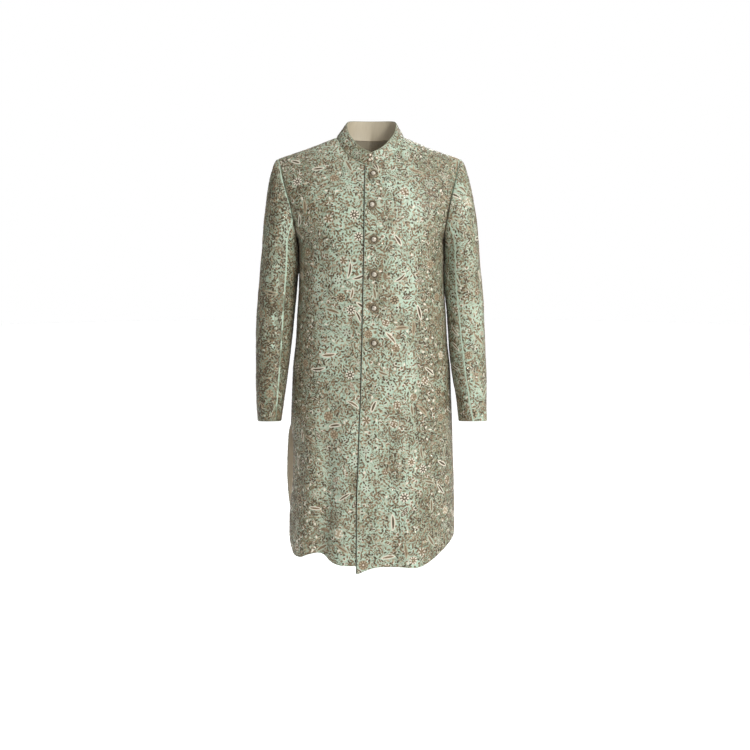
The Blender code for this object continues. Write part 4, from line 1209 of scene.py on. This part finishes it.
    def long_stems(self, per_m2):
        rng = self.rng
        for r, c in self.places(int(self.total * 1e-6 * per_m2)):
            angle, turn = rng.random() * 2 * math.pi, float(rng.uniform(-0.16, 0.16))
            path = [(r, c)]
            for _ in range(int(rng.integers(8, 18))):
                turn += float(rng.normal(0, 0.03))
                angle += turn
                r2, c2 = self.move(r, c, angle, 3.4)
                if not self.inside(r2, c2) or not self.clear(r2, c2, 1.0):
                    break
                if self.panel.skip is not None and bool(self.panel.skip(np.array([r2]), np.array([c2]))[0]):
                    break
                r, c = r2, c2
                path.append((r, c))
            if len(path) > 5:
                for pr, pc in path:
                    self.mark(pr, pc, 0.9)
                self.stems.append((path, 1.35, PALE_T if rng.random() < 0.6 else BEIGE_T))

    def fill(self, tries):
        rng = self.rng
        for r, c in self.places(tries):
            q = rng.random()
            if self.thin(r, c):
                continue
            if q < 0.52:
                # leaves fanned out from one point, as at a stem's tip
                angle = rng.random() * 2 * math.pi
                for w in (0.0, 1.05, -1.05):
                    lr, lc = self.move(r, c, angle + w, 5.4)
                    self.leaf(lr, lc, angle + w, -0.2)
            elif q < 0.86:
                self.leaf(r, c, rng.random() * 2 * math.pi)
            elif q < 0.95:
                size = float(rng.uniform(2.0, 3.1))
                if self.clear(r, c, size * 0.8):
                    self.put("curl", r, c, rng.random() * 6.3, size, size,
                             ((PALE_T, BROWN_T, BEIGE_T)[int(rng.integers(3))],) * 3)
                    self.mark(r, c, size * 0.8)
            elif self.clear(r, c, 1.3):
                self.put("dot", r, c, 0.0, 1.2, 1.2, (self.tones(),) * 3)
                self.mark(r, c, 1.2)

    def sequins(self, per_m2):
        for r, c in self.places(int(self.total * 1e-6 * per_m2)):
            self.put("sequin", r, c, self.rng.random() * 6.3, 1.15, 1.15, (SEQUIN_T,) * 3,
                     high=1.0 + self.rng.random())

    # -- meshes
    def build(self, names, stems=False):
        panel = self.panel
        verts, faces, mats, uvs, base = [], [], [], [], 0
        rows, cols = panel.shape
        lo_c, hi_c, lo_r, hi_r = panel.margins

        def place(r0, c0, x, y, h):
            a, b, s = at(panel.a, r0, c0), at(panel.b, r0, c0), at(panel.s, r0, c0)
            dr = y / b
            r, c = r0 + dr, c0 + (x - s * dr) / a
            # cut off at the seams and the turned edges
            mr = np.abs(1.0 / b)
            r = np.clip(r, lo_r * mr, rows - 1 - hi_r * mr)
            c = np.clip(c, lo_c / a, cols - 1 - hi_c / a)
            uv = np.stack([0.01 + 0.98 * c / (cols - 1), 0.01 + 0.98 * r / (rows - 1)], axis=-1)
            return panel.point(r, c, h), uv

        for name in names:
            rows_in = self.copies[name]
            if not rows_in:
                continue
            data = np.array(rows_in, float)
            mo = MOTIFS[name]
            r0, c0, ang, length, width, bend, high = (data[:, k][:, None] for k in range(7))
            big = name in HEADS
            x, y, h = mo.verts[:, 0][None] * width, mo.verts[:, 1][None] * length, mo.verts[:, 2][None] * high
            x = x + bend * (y * y - (length * 0.3) ** 2) * (0 if big else 1)
            ca, sa = np.cos(ang), np.sin(ang)
            aa, bb = y * ca + x * sa, y * sa - x * ca
            if name == "sequin":
                tilt = self.rng.uniform(-0.35, 0.35, size=(len(data), 2))
                h = h + aa * tilt[:, :1] + bb * tilt[:, 1:] + 0.3
            n = len(mo.verts)
            ones = np.ones((1, n))
            v, uv = place(r0 * ones, c0 * ones, aa, bb, h)
            f = mo.faces[None] + (np.arange(len(data)) * n)[:, None, None] + base
            verts.append(v.reshape(-1, 3))
            uvs.append(uv.reshape(-1, 2))
            faces.append(f.reshape(-1, 3))
            mats.append(data[:, 7:10].astype(int)[:, mo.places].ravel())
            base += len(data) * n
        if stems:
            for path, width, tone in self.stems:
                r, c = np.array(path).T
                a, b, s = at(panel.a, r, c), at(panel.b, r, c), at(panel.s, r, c)
                dr, dc = np.gradient(r), np.gradient(c)
                y, x = b * dr, a * dc + s * dr
                m = np.maximum(np.hypot(x, y), 1e-9)
                x, y = x / m, y / m
                taper = np.linspace(1.0, 0.6, len(r)) * width / 2
                left, uvl = place(r, c, -y * taper, x * taper, np.full(len(r), 0.22))
                right, uvr = place(r, c, y * taper, -x * taper, np.full(len(r), 0.22))
                top, uvt = place(r, c, 0 * x, 0 * y, np.full(len(r), 0.22 + 0.35 * width))
                k = len(r)
                i = np.arange(k - 1)
                f = np.concatenate([np.stack([i + k, i + 1 + k, i], -1), np.stack([i + 1 + k, i + 1, i], -1),
                                    np.stack([i + 2 * k, i + 1 + 2 * k, i + k], -1),
                                    np.stack([i + 1 + 2 * k, i + 1 + k, i + k], -1)])
                verts.append(np.concatenate([left, top, right]))
                uvs.append(np.concatenate([uvl, uvt, uvr]))
                faces.append(f + base)
                mats.append(np.full(len(f), tone))
                base += 3 * k
        v, f = np.concatenate(verts), np.concatenate(faces)
        return mesh_from("threads", v, f, True,
                         np.concatenate(mats), {"OFBake": np.concatenate(uvs)})


FLOWERS = [("daisy8", 1.3), ("daisy10", 0.9), ("pod", 6.2), ("beads", 1.0), ("rosette", 1.0), ("tuft", 1.2),
           ("burst", 1.8), ("clump_a", 2.8), ("clump_b", 2.3), ("clump_c", 2.8)]
LARGE = ["daisy8", "daisy10", "pod", "beads", "rosette", "tuft", "burst", "clump_a", "clump_b", "clump_c",
         "ring", "dot"]
SMALL = ["leaf", "edged", "curl", "sequin"]


def embroider(panel, seed):
    lay = Layout(panel, seed)
    if panel.node == "collar":
        lay.flowers(200, [("clump_c", 1.0), ("burst", 0.8), ("clump_a", 0.6)])
    else:
        lay.flowers(385, FLOWERS)
    lay.dots(1000)
    lay.long_stems(150)
    lay.vines(int(lay.total / 24))
    lay.fill(int(lay.total / 5))
    lay.sequins(450)
    return lay


# ------------------------------------------------------------------------- the garment
cs, front_left_p = body_surface("front", HEM_FRONT_LEFT, LAP_LIFT)
_, front_flat_p = body_surface("front", HEM_FRONT_LEFT)
_, front_right_p = body_surface("front", HEM_FRONT_RIGHT)
_, back_p = body_surface("back", HEM_BACK)
centre = COLUMNS * FINE
arm = ROWS_ABOVE * FINE
lap = centre - FINE                      # the closing edge's column
under = centre + FINE                    # the underlap's column


def armhole_loop(front, back, sign):
    j = -1 if sign > 0 else 0
    return np.concatenate([front[:arm + 1, j], back[:arm + 1, j][::-1][1:]])


panels = {}
FRONT_WAY, BACK_WAY = np.array([0, -1.0, 0]), np.array([0, 1.0, 0])
panels["front_left"] = Panel("cloth_front_left", "front_left", front_left_p[:, lap:], FRONT_WAY,
                             margins=(1.4, 1.2, 1.2, 1.4), rolls=(0.5, 1.5, 1.2, 0.6))
right = Panel("cloth_front_right", "front_right", front_right_p[:, :under + 1], FRONT_WAY,
              margins=(1.2, 1.0, 1.2, 1.4), rolls=(0.8, 0.3, 1.2, 0.6))
right.skip = lambda r, c: c > lap + 0.35
panels["front_right"] = right
panels["back"] = Panel("cloth_back", "back", back_p, BACK_WAY, margins=(1.2, 1.2, 1.2, 1.4),
                       rolls=(1.5, 1.5, 1.2, 0.6))
f, b = FRONT_SEAM_SIDE * FINE, BACK_SEAM_SIDE * FINE
for key, rings, sign, front in (("left", SLEEVE_LEFT, 1, front_flat_p), ("right", SLEEVE_RIGHT, -1, front_right_p)):
    k, p, n = sleeve_surface(rings, sign, armhole_loop(front, back_p, sign), key)
    order = list(range(b, len(k) - 1)) + list(range(0, f + 1))
    middle = p[:, :-1].mean(axis=1, keepdims=True)
    panels[f"sleeve_{key}_upper"] = Panel(f"cloth_sleeve_{key}_upper", f"sleeve_{key}_upper", p[:, order],
                                          radial=(p - middle)[:, order], margins=(1.2, 2.0, 2.0, 1.4),
                                          rolls=(1.0, -0.45, 1.5 if key == "left" else 0.7, 0.6))
    part = list(range(f, b + 1))
    panels[f"sleeve_{key}_under"] = Panel(f"cloth_sleeve_{key}_under", f"sleeve_{key}_under", p[:, part],
                                          radial=(p - middle)[:, part], margins=(2.0, 1.2, 2.0, 1.4),
                                          rolls=(-0.45, 1.0, 1.5, 0.6))


def collar_surface():
    neck = 5 * FINE
    fr, bk = front_flat_p[0], back_p[0]
    base = np.concatenate([fr[centre:centre + neck + 1], bk[centre - neck:centre + neck][::-1],
                           fr[centre - neck + 1:centre + 1]])
    x, y = base[:, 0] - COLLAR_BASE_SWAY, base[:, 1]
    angle = np.degrees(np.arctan2(x / SIDE_NECK, -(y / np.where(y < 0, 78.0, 58.0))))
    a = np.radians(angle)
    deep = np.where(np.abs(angle) < 90, COLLAR_TOP_FRONT, COLLAR_TOP_BACK)
    top = np.stack([COLLAR_TOP_HALF_WIDTH * np.sin(a), -deep * np.cos(a),
                    read(COLLAR_TOP, "angle", "z", np.abs(angle))], axis=-1)
    top[0, 0], top[-1, 0] = base[0, 0], base[-1, 0]
    lift = unit(top - base)
    base = base - lift * 1.3
    rows = []
    for t in np.linspace(1, 0, 9):
        row = base + (top - base) * t
        bow = 1.5 * math.sin(math.pi * t)
        row[:, 0] += bow * row[:, 0] / 80.0
        row[:, 1] += bow * row[:, 1] / 80.0
        rows.append(row)
    p = np.array(rows)
    p[:, 0, 0] += 0.3
    p[:, -1, 0] -= 0.3
    return p


collar_p = collar_surface()
panels["collar"] = Panel("cloth_collar", "collar", collar_p, radial=collar_p * [1, 1, 0] + [0, 8, 0],
                         slot="collar_cloth", thick=COLLAR_CLOTH, margins=(1.2, 1.2, 1.4, 1.6), rolls=(0.6, 0.6, 0.7, 1.2))


def edge_cord(panel, radius, out, down, along_top=False, sides=6):
    """A cord sewn along a panel's first edge, or along its top, as a thin tube."""
    rows, cols = panel.shape
    if along_top:
        c = np.linspace(0.5, cols - 1.5, 2 * cols)
        r = np.zeros_like(c)
        e = unit(at(panel.e2, r, c)) * np.sign(at(panel.b, r, c))[:, None]
    else:
        r = np.linspace(0.6, rows - 1.2, 2 * rows)
        c = np.zeros_like(r)
        e = unit(at(panel.e1, r, c))
    n = unit(at(panel.n, r, c))
    centre = panel.point(r, c) - e * out - n * down
    a = np.linspace(0, 2 * math.pi, sides, endpoint=False)[None, :, None]
    v = centre[:, None] + radius * (np.cos(a) * n[:, None] + np.sin(a) * e[:, None])
    i, k = np.meshgrid(np.arange(len(r) - 1), np.arange(sides), indexing="ij")
    k2 = (k + 1) % sides
    f = np.stack([i * sides + k, (i + 1) * sides + k, (i + 1) * sides + k2, i * sides + k2], -1).reshape(-1, 4)
    return mesh_from("cord", v.reshape(-1, 3), f)


# where the work lies closer (+) or leaves its ground open (-): middle, half sizes, amount
Patch = namedtuple("Patch", "x z wide high amount")
PATCHES = [
    Patch(58, -165, 40, 70, -0.45), Patch(112, -250, 34, 70, -0.35), Patch(-52, -250, 30, 70, -0.55),
    Patch(-50, -150, 26, 60, -0.3), Patch(-15, -380, 24, 40, -0.4), Patch(-214, -108, 24, 30, -0.6),
    Patch(92, -400, 30, 50, -0.3), Patch(70, -620, 42, 60, -0.4), Patch(62, -900, 50, 80, -0.35),
    Patch(-50, -730, 34, 90, -0.35), Patch(30, -1010, 40, 50, -0.3), Patch(-30, -480, 24, 90, -0.3),
    Patch(-170, -880, 26, 90, -0.15), Patch(-114, -980, 24, 100, 0.5), Patch(-140, -330, 40, 60, 0.25),
    Patch(128, -620, 20, 300, 0.3), Patch(-40, -80, 60, 20, 0.35), Patch(-112, -240, 26, 110, 0.5),
    Patch(130, -70, 90, 42, 0.15), Patch(-130, -60, 60, 40, 0.1),
]
SLEEVE_PATCHES = {"left": [Patch(182, -330, 20, 75, -0.9)], "right": [Patch(-222, -236, 14, 50, -1.1), Patch(-270, -490, 9, 50, -0.9),
                            Patch(-268, -640, 9, 30, -0.6)]}


def opened(d, x, z, patches):
    for f in patches:
        d = d + f.amount * np.exp(-((x - f.x) / f.wide) ** 2 - ((z - f.z) / f.high) ** 2)
    return d


def closeness_and_shade(panel, seed):
    """Close work and open ground by turns, closer towards the coat's sides. The silk darkens its ground with the
    closeness, so these values also paint shade.
    """
    x, z = panel.p[..., 0], panel.p[..., 2]
    d = 0.90 - 0.55 * undulation(panel.p * [1, 1, 0.9] + 300 * seed, 150, 48, 0.5) \
        - 0.42 * undulation(panel.p + 170 * seed + 90, 54, 24, 0.4)
    if panel.node.startswith("front") or panel.node == "back":
        # closer towards both sides: denser work, and painted shade through the ground's darkening
        d = d + 1.15 * ramp(x, 100, 150) + 0.95 * ramp(-x, 132, 174)
        d = opened(d, x, z, PATCHES)
    elif panel.node.startswith("sleeve_right"):
        # the right sleeve's work is closer, more so lower down: partly denser work, partly painted shade
        d = opened(d + 0.76 + 0.64 * ramp(-z, 300, 440) + 0.35 * ramp(-z, 460, 600), x, z,
                   SLEEVE_PATCHES["right"])
    elif panel.node.startswith("sleeve_left"):
        d = opened(d + 0.10 + 0.25 * ramp(-z, 480, 640), x, z, SLEEVE_PATCHES["left"])
    else:
        d = d + 0.45 - 0.85 * ramp(x, 6, 12) * (1 - ramp(x, 24, 36)) * ramp(-panel.p[..., 1], 20, 40)
    # the shaded right sleeve may go on to the darkest painted shade
    d = np.clip(d, 0.0, 2.2 if panel.deep else 1.8)
    if panel.node.startswith("sleeve"):
        # a narrow plain strip on each side of the seam that runs down the front of the sleeve
        rows, cols = panel.shape
        c = np.arange(cols)[None, :] * panel.a
        from_seam = c[:, -1:] - c if panel.node.endswith("upper") else c
        if panel.deep:
            # lower down the work runs over this strip here and there
            bare = (z > -400) | (np.sin(z / 11.0) + np.sin(z / 26.0 + 1.0) > 0.1)
            d = np.where((from_seam < 0.8 * SEAM_STRIP) & bare, np.where(z > -400, -0.6, -0.45), d)
        else:
            d = np.where(from_seam < SEAM_STRIP, -1.0, d)
        if panel.deep:
            # and along the front of the seam round the armhole
            from_top = np.cumsum(panel.b, axis=0) - panel.b[:1]
            d = np.where((np.abs(from_top) < 3.4) & (panel.p[..., 1] < -12) & (z < -50), -1.0, d)
    return d


SEAM_STRIP = 1.5
for number, panel in enumerate(panels.values()):
    # the right sleeve is drawn darker in threads and ground: partly closer work, partly painted shade
    panel.deep = panel.node.startswith("sleeve_right")
    panel.close = closeness_and_shade(panel, 100 + number)

for number, (key, panel) in enumerate(panels.items()):
    cloth = add(panel.name, shell(panel), [SILK, LINING])
    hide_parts(panel.node)
    lay = embroider(panel, 100 + number)
    groups = [("flowers", LARGE, False), ("leaves", SMALL, True)]
    for group, names, stems in groups:
        mesh = lay.build(names, stems)
        obj = add(f"threads_{group}_{key}", mesh, TONES)
    if key == "front_left":
        # the dark cord along the closing edge stands in for the lap's shadow line: painted shadow
        add("closing_shadow_cord", edge_cord(panel, 1.5, 0.6, 0.8), [CLOSING_SHADOW_CORD])
    if key == "collar":
        add("collar_edge_cord", edge_cord(panel, 0.9, 0.0, 0.6, True), [TONES[MOSS_T]])

# ----------------------------------------------------------------------------- buttons
Turn = namedtuple("Turn", "radius height")
BUTTON_RIM = [Turn(0.0, 3.0), Turn(6.8, 3.0), Turn(7.2, 1.9), Turn(7.9, 1.9), Turn(8.3, 3.3), Turn(8.9, 3.9),
              Turn(9.5, 3.5), Turn(9.9, 2.3), Turn(10.5, 2.1), Turn(10.9, 3.0), Turn(11.6, 3.5), Turn(12.2, 2.8),
              Turn(12.6, 1.7), Turn(12.4, 0.7), Turn(11.6, 0.1), Turn(0.0, 0.0)]
RIM_DARK = (1, 2, 3, 7, 8, 12, 13)       # the profile's steps drawn in the darker metal: the grooves, and the rim's outer foot, where it is painted shadow round the button
PEARL = [Turn(0.0, 6.95), Turn(1.3, 6.85), Turn(2.6, 6.5), Turn(3.8, 5.95), Turn(4.9, 5.2), Turn(5.9, 4.3),
         Turn(6.6, 3.4), Turn(7.0, 2.4)]


def turned(profile, steps, lobes=0, depth=0.0):
    verts, faces = [], []
    rows = []
    for t in profile:
        if t.radius < 1e-6:
            rows.append([len(verts)])
            verts.append((0, 0, t.height))
            continue
        row = []
        for k in range(steps):
            a = 2 * math.pi * k / steps
            r = t.radius * (1 + depth * math.cos(lobes * a) * (t.radius > 10.6))
            row.append(len(verts))
            verts.append((r * math.cos(a), r * math.sin(a), t.height))
        rows.append(row)
    for p, q in zip(rows, rows[1:]):
        for k in range(steps):
            k2 = (k + 1) % steps
            quad = [p[k % len(p)], q[k % len(q)], q[k2 % len(q)], p[k2 % len(p)]]
            quad = list(dict.fromkeys(quad))
            if len(quad) > 2:
                faces.append(quad)
    return verts, faces


def metal(name, light, dark, roughness):
    """Antiqued metal: bright on what stands up, dark where polish never reaches."""
    m, nt, bsdf = new_material(name)
    co = node(nt, "ShaderNodeTexCoord")
    n1 = node(nt, "ShaderNodeTexNoise", {"Scale": 420.0, "Detail": 4.0, "Roughness": 0.65})
    nt.links.new(co.outputs["Object"], n1.inputs["Vector"])
    geo = node(nt, "ShaderNodeNewGeometry")
    edge = maths(nt, "MULTIPLY", maths(nt, "SUBTRACT", geo.outputs["Pointiness"], 0.46, clamp=True), 9.0, clamp=True)
    f = maths(nt, "MULTIPLY", maths(nt, "ADD", edge, n1.outputs["Fac"]), 0.62, clamp=True)
    nt.links.new(mix_colour(nt, f, dark, light), bsdf.inputs["Base Color"])
    bump = node(nt, "ShaderNodeBump", {"Strength": 0.3, "Distance": 0.0002})
    nt.links.new(n1.outputs["Fac"], bump.inputs["Height"])
    nt.links.new(bump.outputs["Normal"], bsdf.inputs["Normal"])
    bsdf.inputs["Metallic"].default_value = 0.75
    bsdf.inputs["Roughness"].default_value = roughness
    return m


def pearl(name, light, shade):
    m, nt, bsdf = new_material(name)
    co = node(nt, "ShaderNodeTexCoord")
    n1 = node(nt, "ShaderNodeTexNoise", {"Scale": 160.0, "Detail": 2.0})
    nt.links.new(co.outputs["Object"], n1.inputs["Vector"])
    nt.links.new(mix_colour(nt, n1.outputs["Fac"], light, shade), bsdf.inputs["Base Color"])
    bsdf.inputs["Roughness"].default_value = 0.22
    bsdf.inputs["Coat Weight"].default_value = 0.5
    bsdf.inputs["Coat Roughness"].default_value = 0.1
    bsdf.inputs["Metallic"].default_value = 0.15
    return m


RIM_METAL = metal("antique_rim", srgb(156, 143, 119), srgb(56, 48, 37), 0.38)
PEARL_FACE = pearl("pearl_face", srgb(186, 179, 165), srgb(146, 137, 121))
# a darker copy of the pearl for the dome's outer rows: painted shade
PEARL_EDGE_SHADE = pearl("pearl_edge_shade", srgb(160, 150, 133), srgb(122, 111, 94))
# a darker copy of the rim's metal for the grooves and the foot: at the foot painted shadow
RIM_SHADE = metal("dark_groove_and_foot_shadow", srgb(92, 82, 64), srgb(44, 38, 29), 0.55)
BEAD_FACE = pearl("bead_face", srgb(214, 200, 180), srgb(186, 170, 150))


def sphere(radius, centre, rings=6, sides=10):
    verts, faces = [], []
    for i in range(1, rings):
        for k in range(sides):
            th, a = math.pi * i / rings, 2 * math.pi * k / sides
            verts.append((centre[0] + radius * math.sin(th) * math.cos(a),
                          centre[1] + radius * math.sin(th) * math.sin(a),
                          centre[2] + radius * math.cos(th)))
    for i in range(rings - 2):
        for k in range(sides):
            k2 = (k + 1) % sides
            faces.append([i * sides + k, (i + 1) * sides + k, (i + 1) * sides + k2, i * sides + k2])
    north, south = len(verts), len(verts) + 1
    verts += [(centre[0], centre[1], centre[2] + radius), (centre[0], centre[1], centre[2] - radius)]
    for k in range(sides):
        k2 = (k + 1) % sides
        faces.append([north, k, k2])
        faces.append([south, (rings - 2) * sides + k2, (rings - 2) * sides + k])
    return verts, faces


def button_mesh(name):
    """Rim, a ring of grains inside it and the domed pearl face, as one joined mesh."""
    verts, faces, mats = [], [], []

    def take(part, mat):
        v, fs = part
        base = len(verts)
        verts.extend(v)
        faces.extend([[i + base for i in q] for q in fs])
        mats.extend([mat] * len(fs))

    steps = 56
    take(turned(BUTTON_RIM, steps, 28, 0.012), 0)
    for i in RIM_DARK:
        mats[i * steps:(i + 1) * steps] = [2] * steps
    base = len(mats)
    take(turned(PEARL, 40), 1)
    mats[base + 4 * 40:] = [3] * (len(mats) - base - 4 * 40)   # the dome's outer rows take the darker pearl: painted shade towards its setting
    for k in range(32):
        a = 2 * math.pi * k / 32
        take(sphere(0.66, (10.2 * math.cos(a), 10.2 * math.sin(a), 2.7), 4, 7), 0)
    mesh = bpy.data.meshes.new(name)
    mesh.from_pydata([tuple(c * MM for c in v) for v in verts], [], faces)
    mesh.polygons.foreach_set("material_index", mats)
    mesh.polygons.foreach_set("use_smooth", [True] * len(faces))
    mesh.update()
    return mesh


for number in range(1, BUTTON_COUNT + 1):
    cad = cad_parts[f"button_{number}"]
    pts = np.array([v.co[:] for v in cad.data.vertices])
    mid = pts.mean(axis=0)
    _, _, axes = np.linalg.svd(pts - mid)
    axis = axes[2] * (1 if axes[2][1] < 0 else -1)
    low = ((pts - mid) @ axis).min()
    # the middle of the back: the turned solid's own axis passes through its rim's centre
    rim = pts[np.linalg.norm(np.cross(pts - mid, axis), axis=1) > 0.0108]
    seat = rim.mean(axis=0)
    seat = seat + axis * (low - (seat - mid) @ axis)
    turn = Vector(axis).to_track_quat("Z", "Y").to_matrix().to_4x4()
    mesh = button_mesh(f"button_face_{number}")
    mesh.transform(Matrix.Translation(Vector(seat)) @ turn @ Matrix.Rotation(0.37 * number, 4, "Z"))
    piece = add(f"button_face_{number}", mesh, [RIM_METAL, PEARL_FACE, RIM_SHADE, PEARL_EDGE_SHADE])
    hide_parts(f"button_{number}")

# small pearl beads sewn on the collar's ends, each in a ring of thread
Bead = namedtuple("Bead", "name column_from_end row")
for bead in (Bead("collar_bead_left", 3.05, 4.5), Bead("collar_bead_right", -1.15, 4.5),
             Bead("collar_bead_top", -1.2, 1.9)):
    panel = panels["collar"]
    cols = panel.shape[1]
    c = bead.column_from_end if bead.column_from_end > 0 else cols - 1 + bead.column_from_end
    r = np.array([bead.row])
    c = np.array([c])
    p, n = panel.point(r, c)[0], unit(at(panel.n, r, c))[0]
    v, fs = sphere(3.6, (0, 0, 2.4), 8, 14)
    mesh = bpy.data.meshes.new(bead.name)
    ring_v, ring_f = turned([Turn(3.4, 0.2), Turn(3.9, 1.1), Turn(4.7, 1.1), Turn(5.3, 0.2)], 18)
    base = len(v)
    mesh.from_pydata([tuple(q * MM for q in w) for w in v + ring_v], [],
                     fs + [[i + base for i in q][::-1] for q in ring_f])
    mesh.polygons.foreach_set("material_index", [0] * len(fs) + [1] * len(ring_f))
    mesh.polygons.foreach_set("use_smooth", [True] * len(mesh.polygons))
    mesh.update()
    turn = Vector(n).to_track_quat("Z", "Y").to_matrix().to_4x4()
    mesh.transform(Matrix.Translation(Vector(p * MM)) @ turn)
    add(bead.name, mesh, [BEAD_FACE, TONES[BROWN_T]])

# ---------------------------------------------------------- floor, light and the camera
FLOOR_Z = -1.52


def floor_material():
    m, nt, bsdf = new_material("floor_pale")
    co = node(nt, "ShaderNodeTexCoord")
    n1 = node(nt, "ShaderNodeTexNoise", {"Scale": 3.0, "Detail": 4.0})
    nt.links.new(co.outputs["Object"], n1.inputs["Vector"])
    nt.links.new(mix_colour(nt, n1.outputs["Fac"], (0.96, 0.96, 0.96, 1), (0.94, 0.94, 0.94, 1)),
                 bsdf.inputs["Base Color"])
    bsdf.inputs["Roughness"].default_value = 0.7
    bsdf.inputs["Emission Color"].default_value = (1, 1, 1, 1)
    bsdf.inputs["Emission Strength"].default_value = 0.18
    return m


sides, radius = 96, 14.0
floor_v = [(0, 0, FLOOR_Z)] + [(radius * math.cos(2 * math.pi * k / sides), radius * math.sin(2 * math.pi * k / sides),
                                FLOOR_Z) for k in range(sides)]
mesh = bpy.data.meshes.new("floor")
mesh.from_pydata(floor_v, [], [(0, k + 1, (k + 1) % sides + 1) for k in range(sides)])
floor = add("floor", mesh, [floor_material()], body=None)

world = bpy.data.worlds.new("studio")
bpy.context.scene.world = world
world.use_nodes = True
nt = world.node_tree
sky = nt.nodes["Background"]
co = node(nt, "ShaderNodeTexCoord")
parts = node(nt, "ShaderNodeSeparateXYZ")
nt.links.new(co.outputs["Generated"], parts.inputs[0])


def lit(value, start, end, level):
    m = node(nt, "ShaderNodeMapRange", {"From Min": start, "From Max": end, "To Min": 0.0, "To Max": level},
             interpolation_type="SMOOTHSTEP")
    nt.links.new(value, m.inputs["Value"])
    return m.outputs["Result"]


# a studio: dim walls, a bright backdrop behind the coat and a broad light overhead
walls = maths(nt, "MULTIPLY_ADD", parts.outputs["X"], 0.14, 0.165)
total = maths(nt, "MAXIMUM", walls, lit(parts.outputs["Y"], 0.80, 0.90, 0.6))
total = maths(nt, "ADD", total, lit(parts.outputs["Z"], 0.45, 0.85, 1.25))
# the backdrop itself is seen white from every side
seen = node(nt, "ShaderNodeLightPath").outputs["Is Camera Ray"]
total = maths(nt, "MAXIMUM", total, seen)
nt.links.new(total, sky.inputs["Strength"])
sky.inputs["Color"].default_value = (1.0, 1.0, 1.0, 1)


def area_light(name, place, target, size, power, colour=(1, 1, 1)):
    data = bpy.data.lights.new(name, "AREA")
    data.shape, data.size, data.size_y = "RECTANGLE", size[0], size[1]
    data.energy, data.color = power, colour
    obj = bpy.data.objects.new(name, data)
    obj.location = place
    obj.rotation_euler = (Vector(target) - Vector(place)).to_track_quat("-Z", "Y").to_euler()
    bpy.context.scene.collection.objects.link(obj)


area_light("key", (2.35, -2.75, 1.35), (0.0, 0, -0.55), (1.1, 1.3), 127, (0.99, 1.0, 0.985))

area_light("back_fill", (1.3, 3.0, 1.9), (0.0, 0, -0.5), (1.8, 1.6), 85)

camera_data = bpy.data.cameras.new("camera")
camera_data.lens, camera_data.sensor_width = 54.96, 36.0
camera = bpy.data.objects.new("camera", camera_data)
camera.location = (0.0, -3.0, -0.2422)
camera.rotation_euler = (math.radians(90 - 7.12), 0, -math.atan(3.5 / 1145))
bpy.context.scene.collection.objects.link(camera)
bpy.context.scene.camera = camera
bpy.context.scene.view_settings.view_transform = "Standard"
bpy.context.scene.view_settings.look = "None"
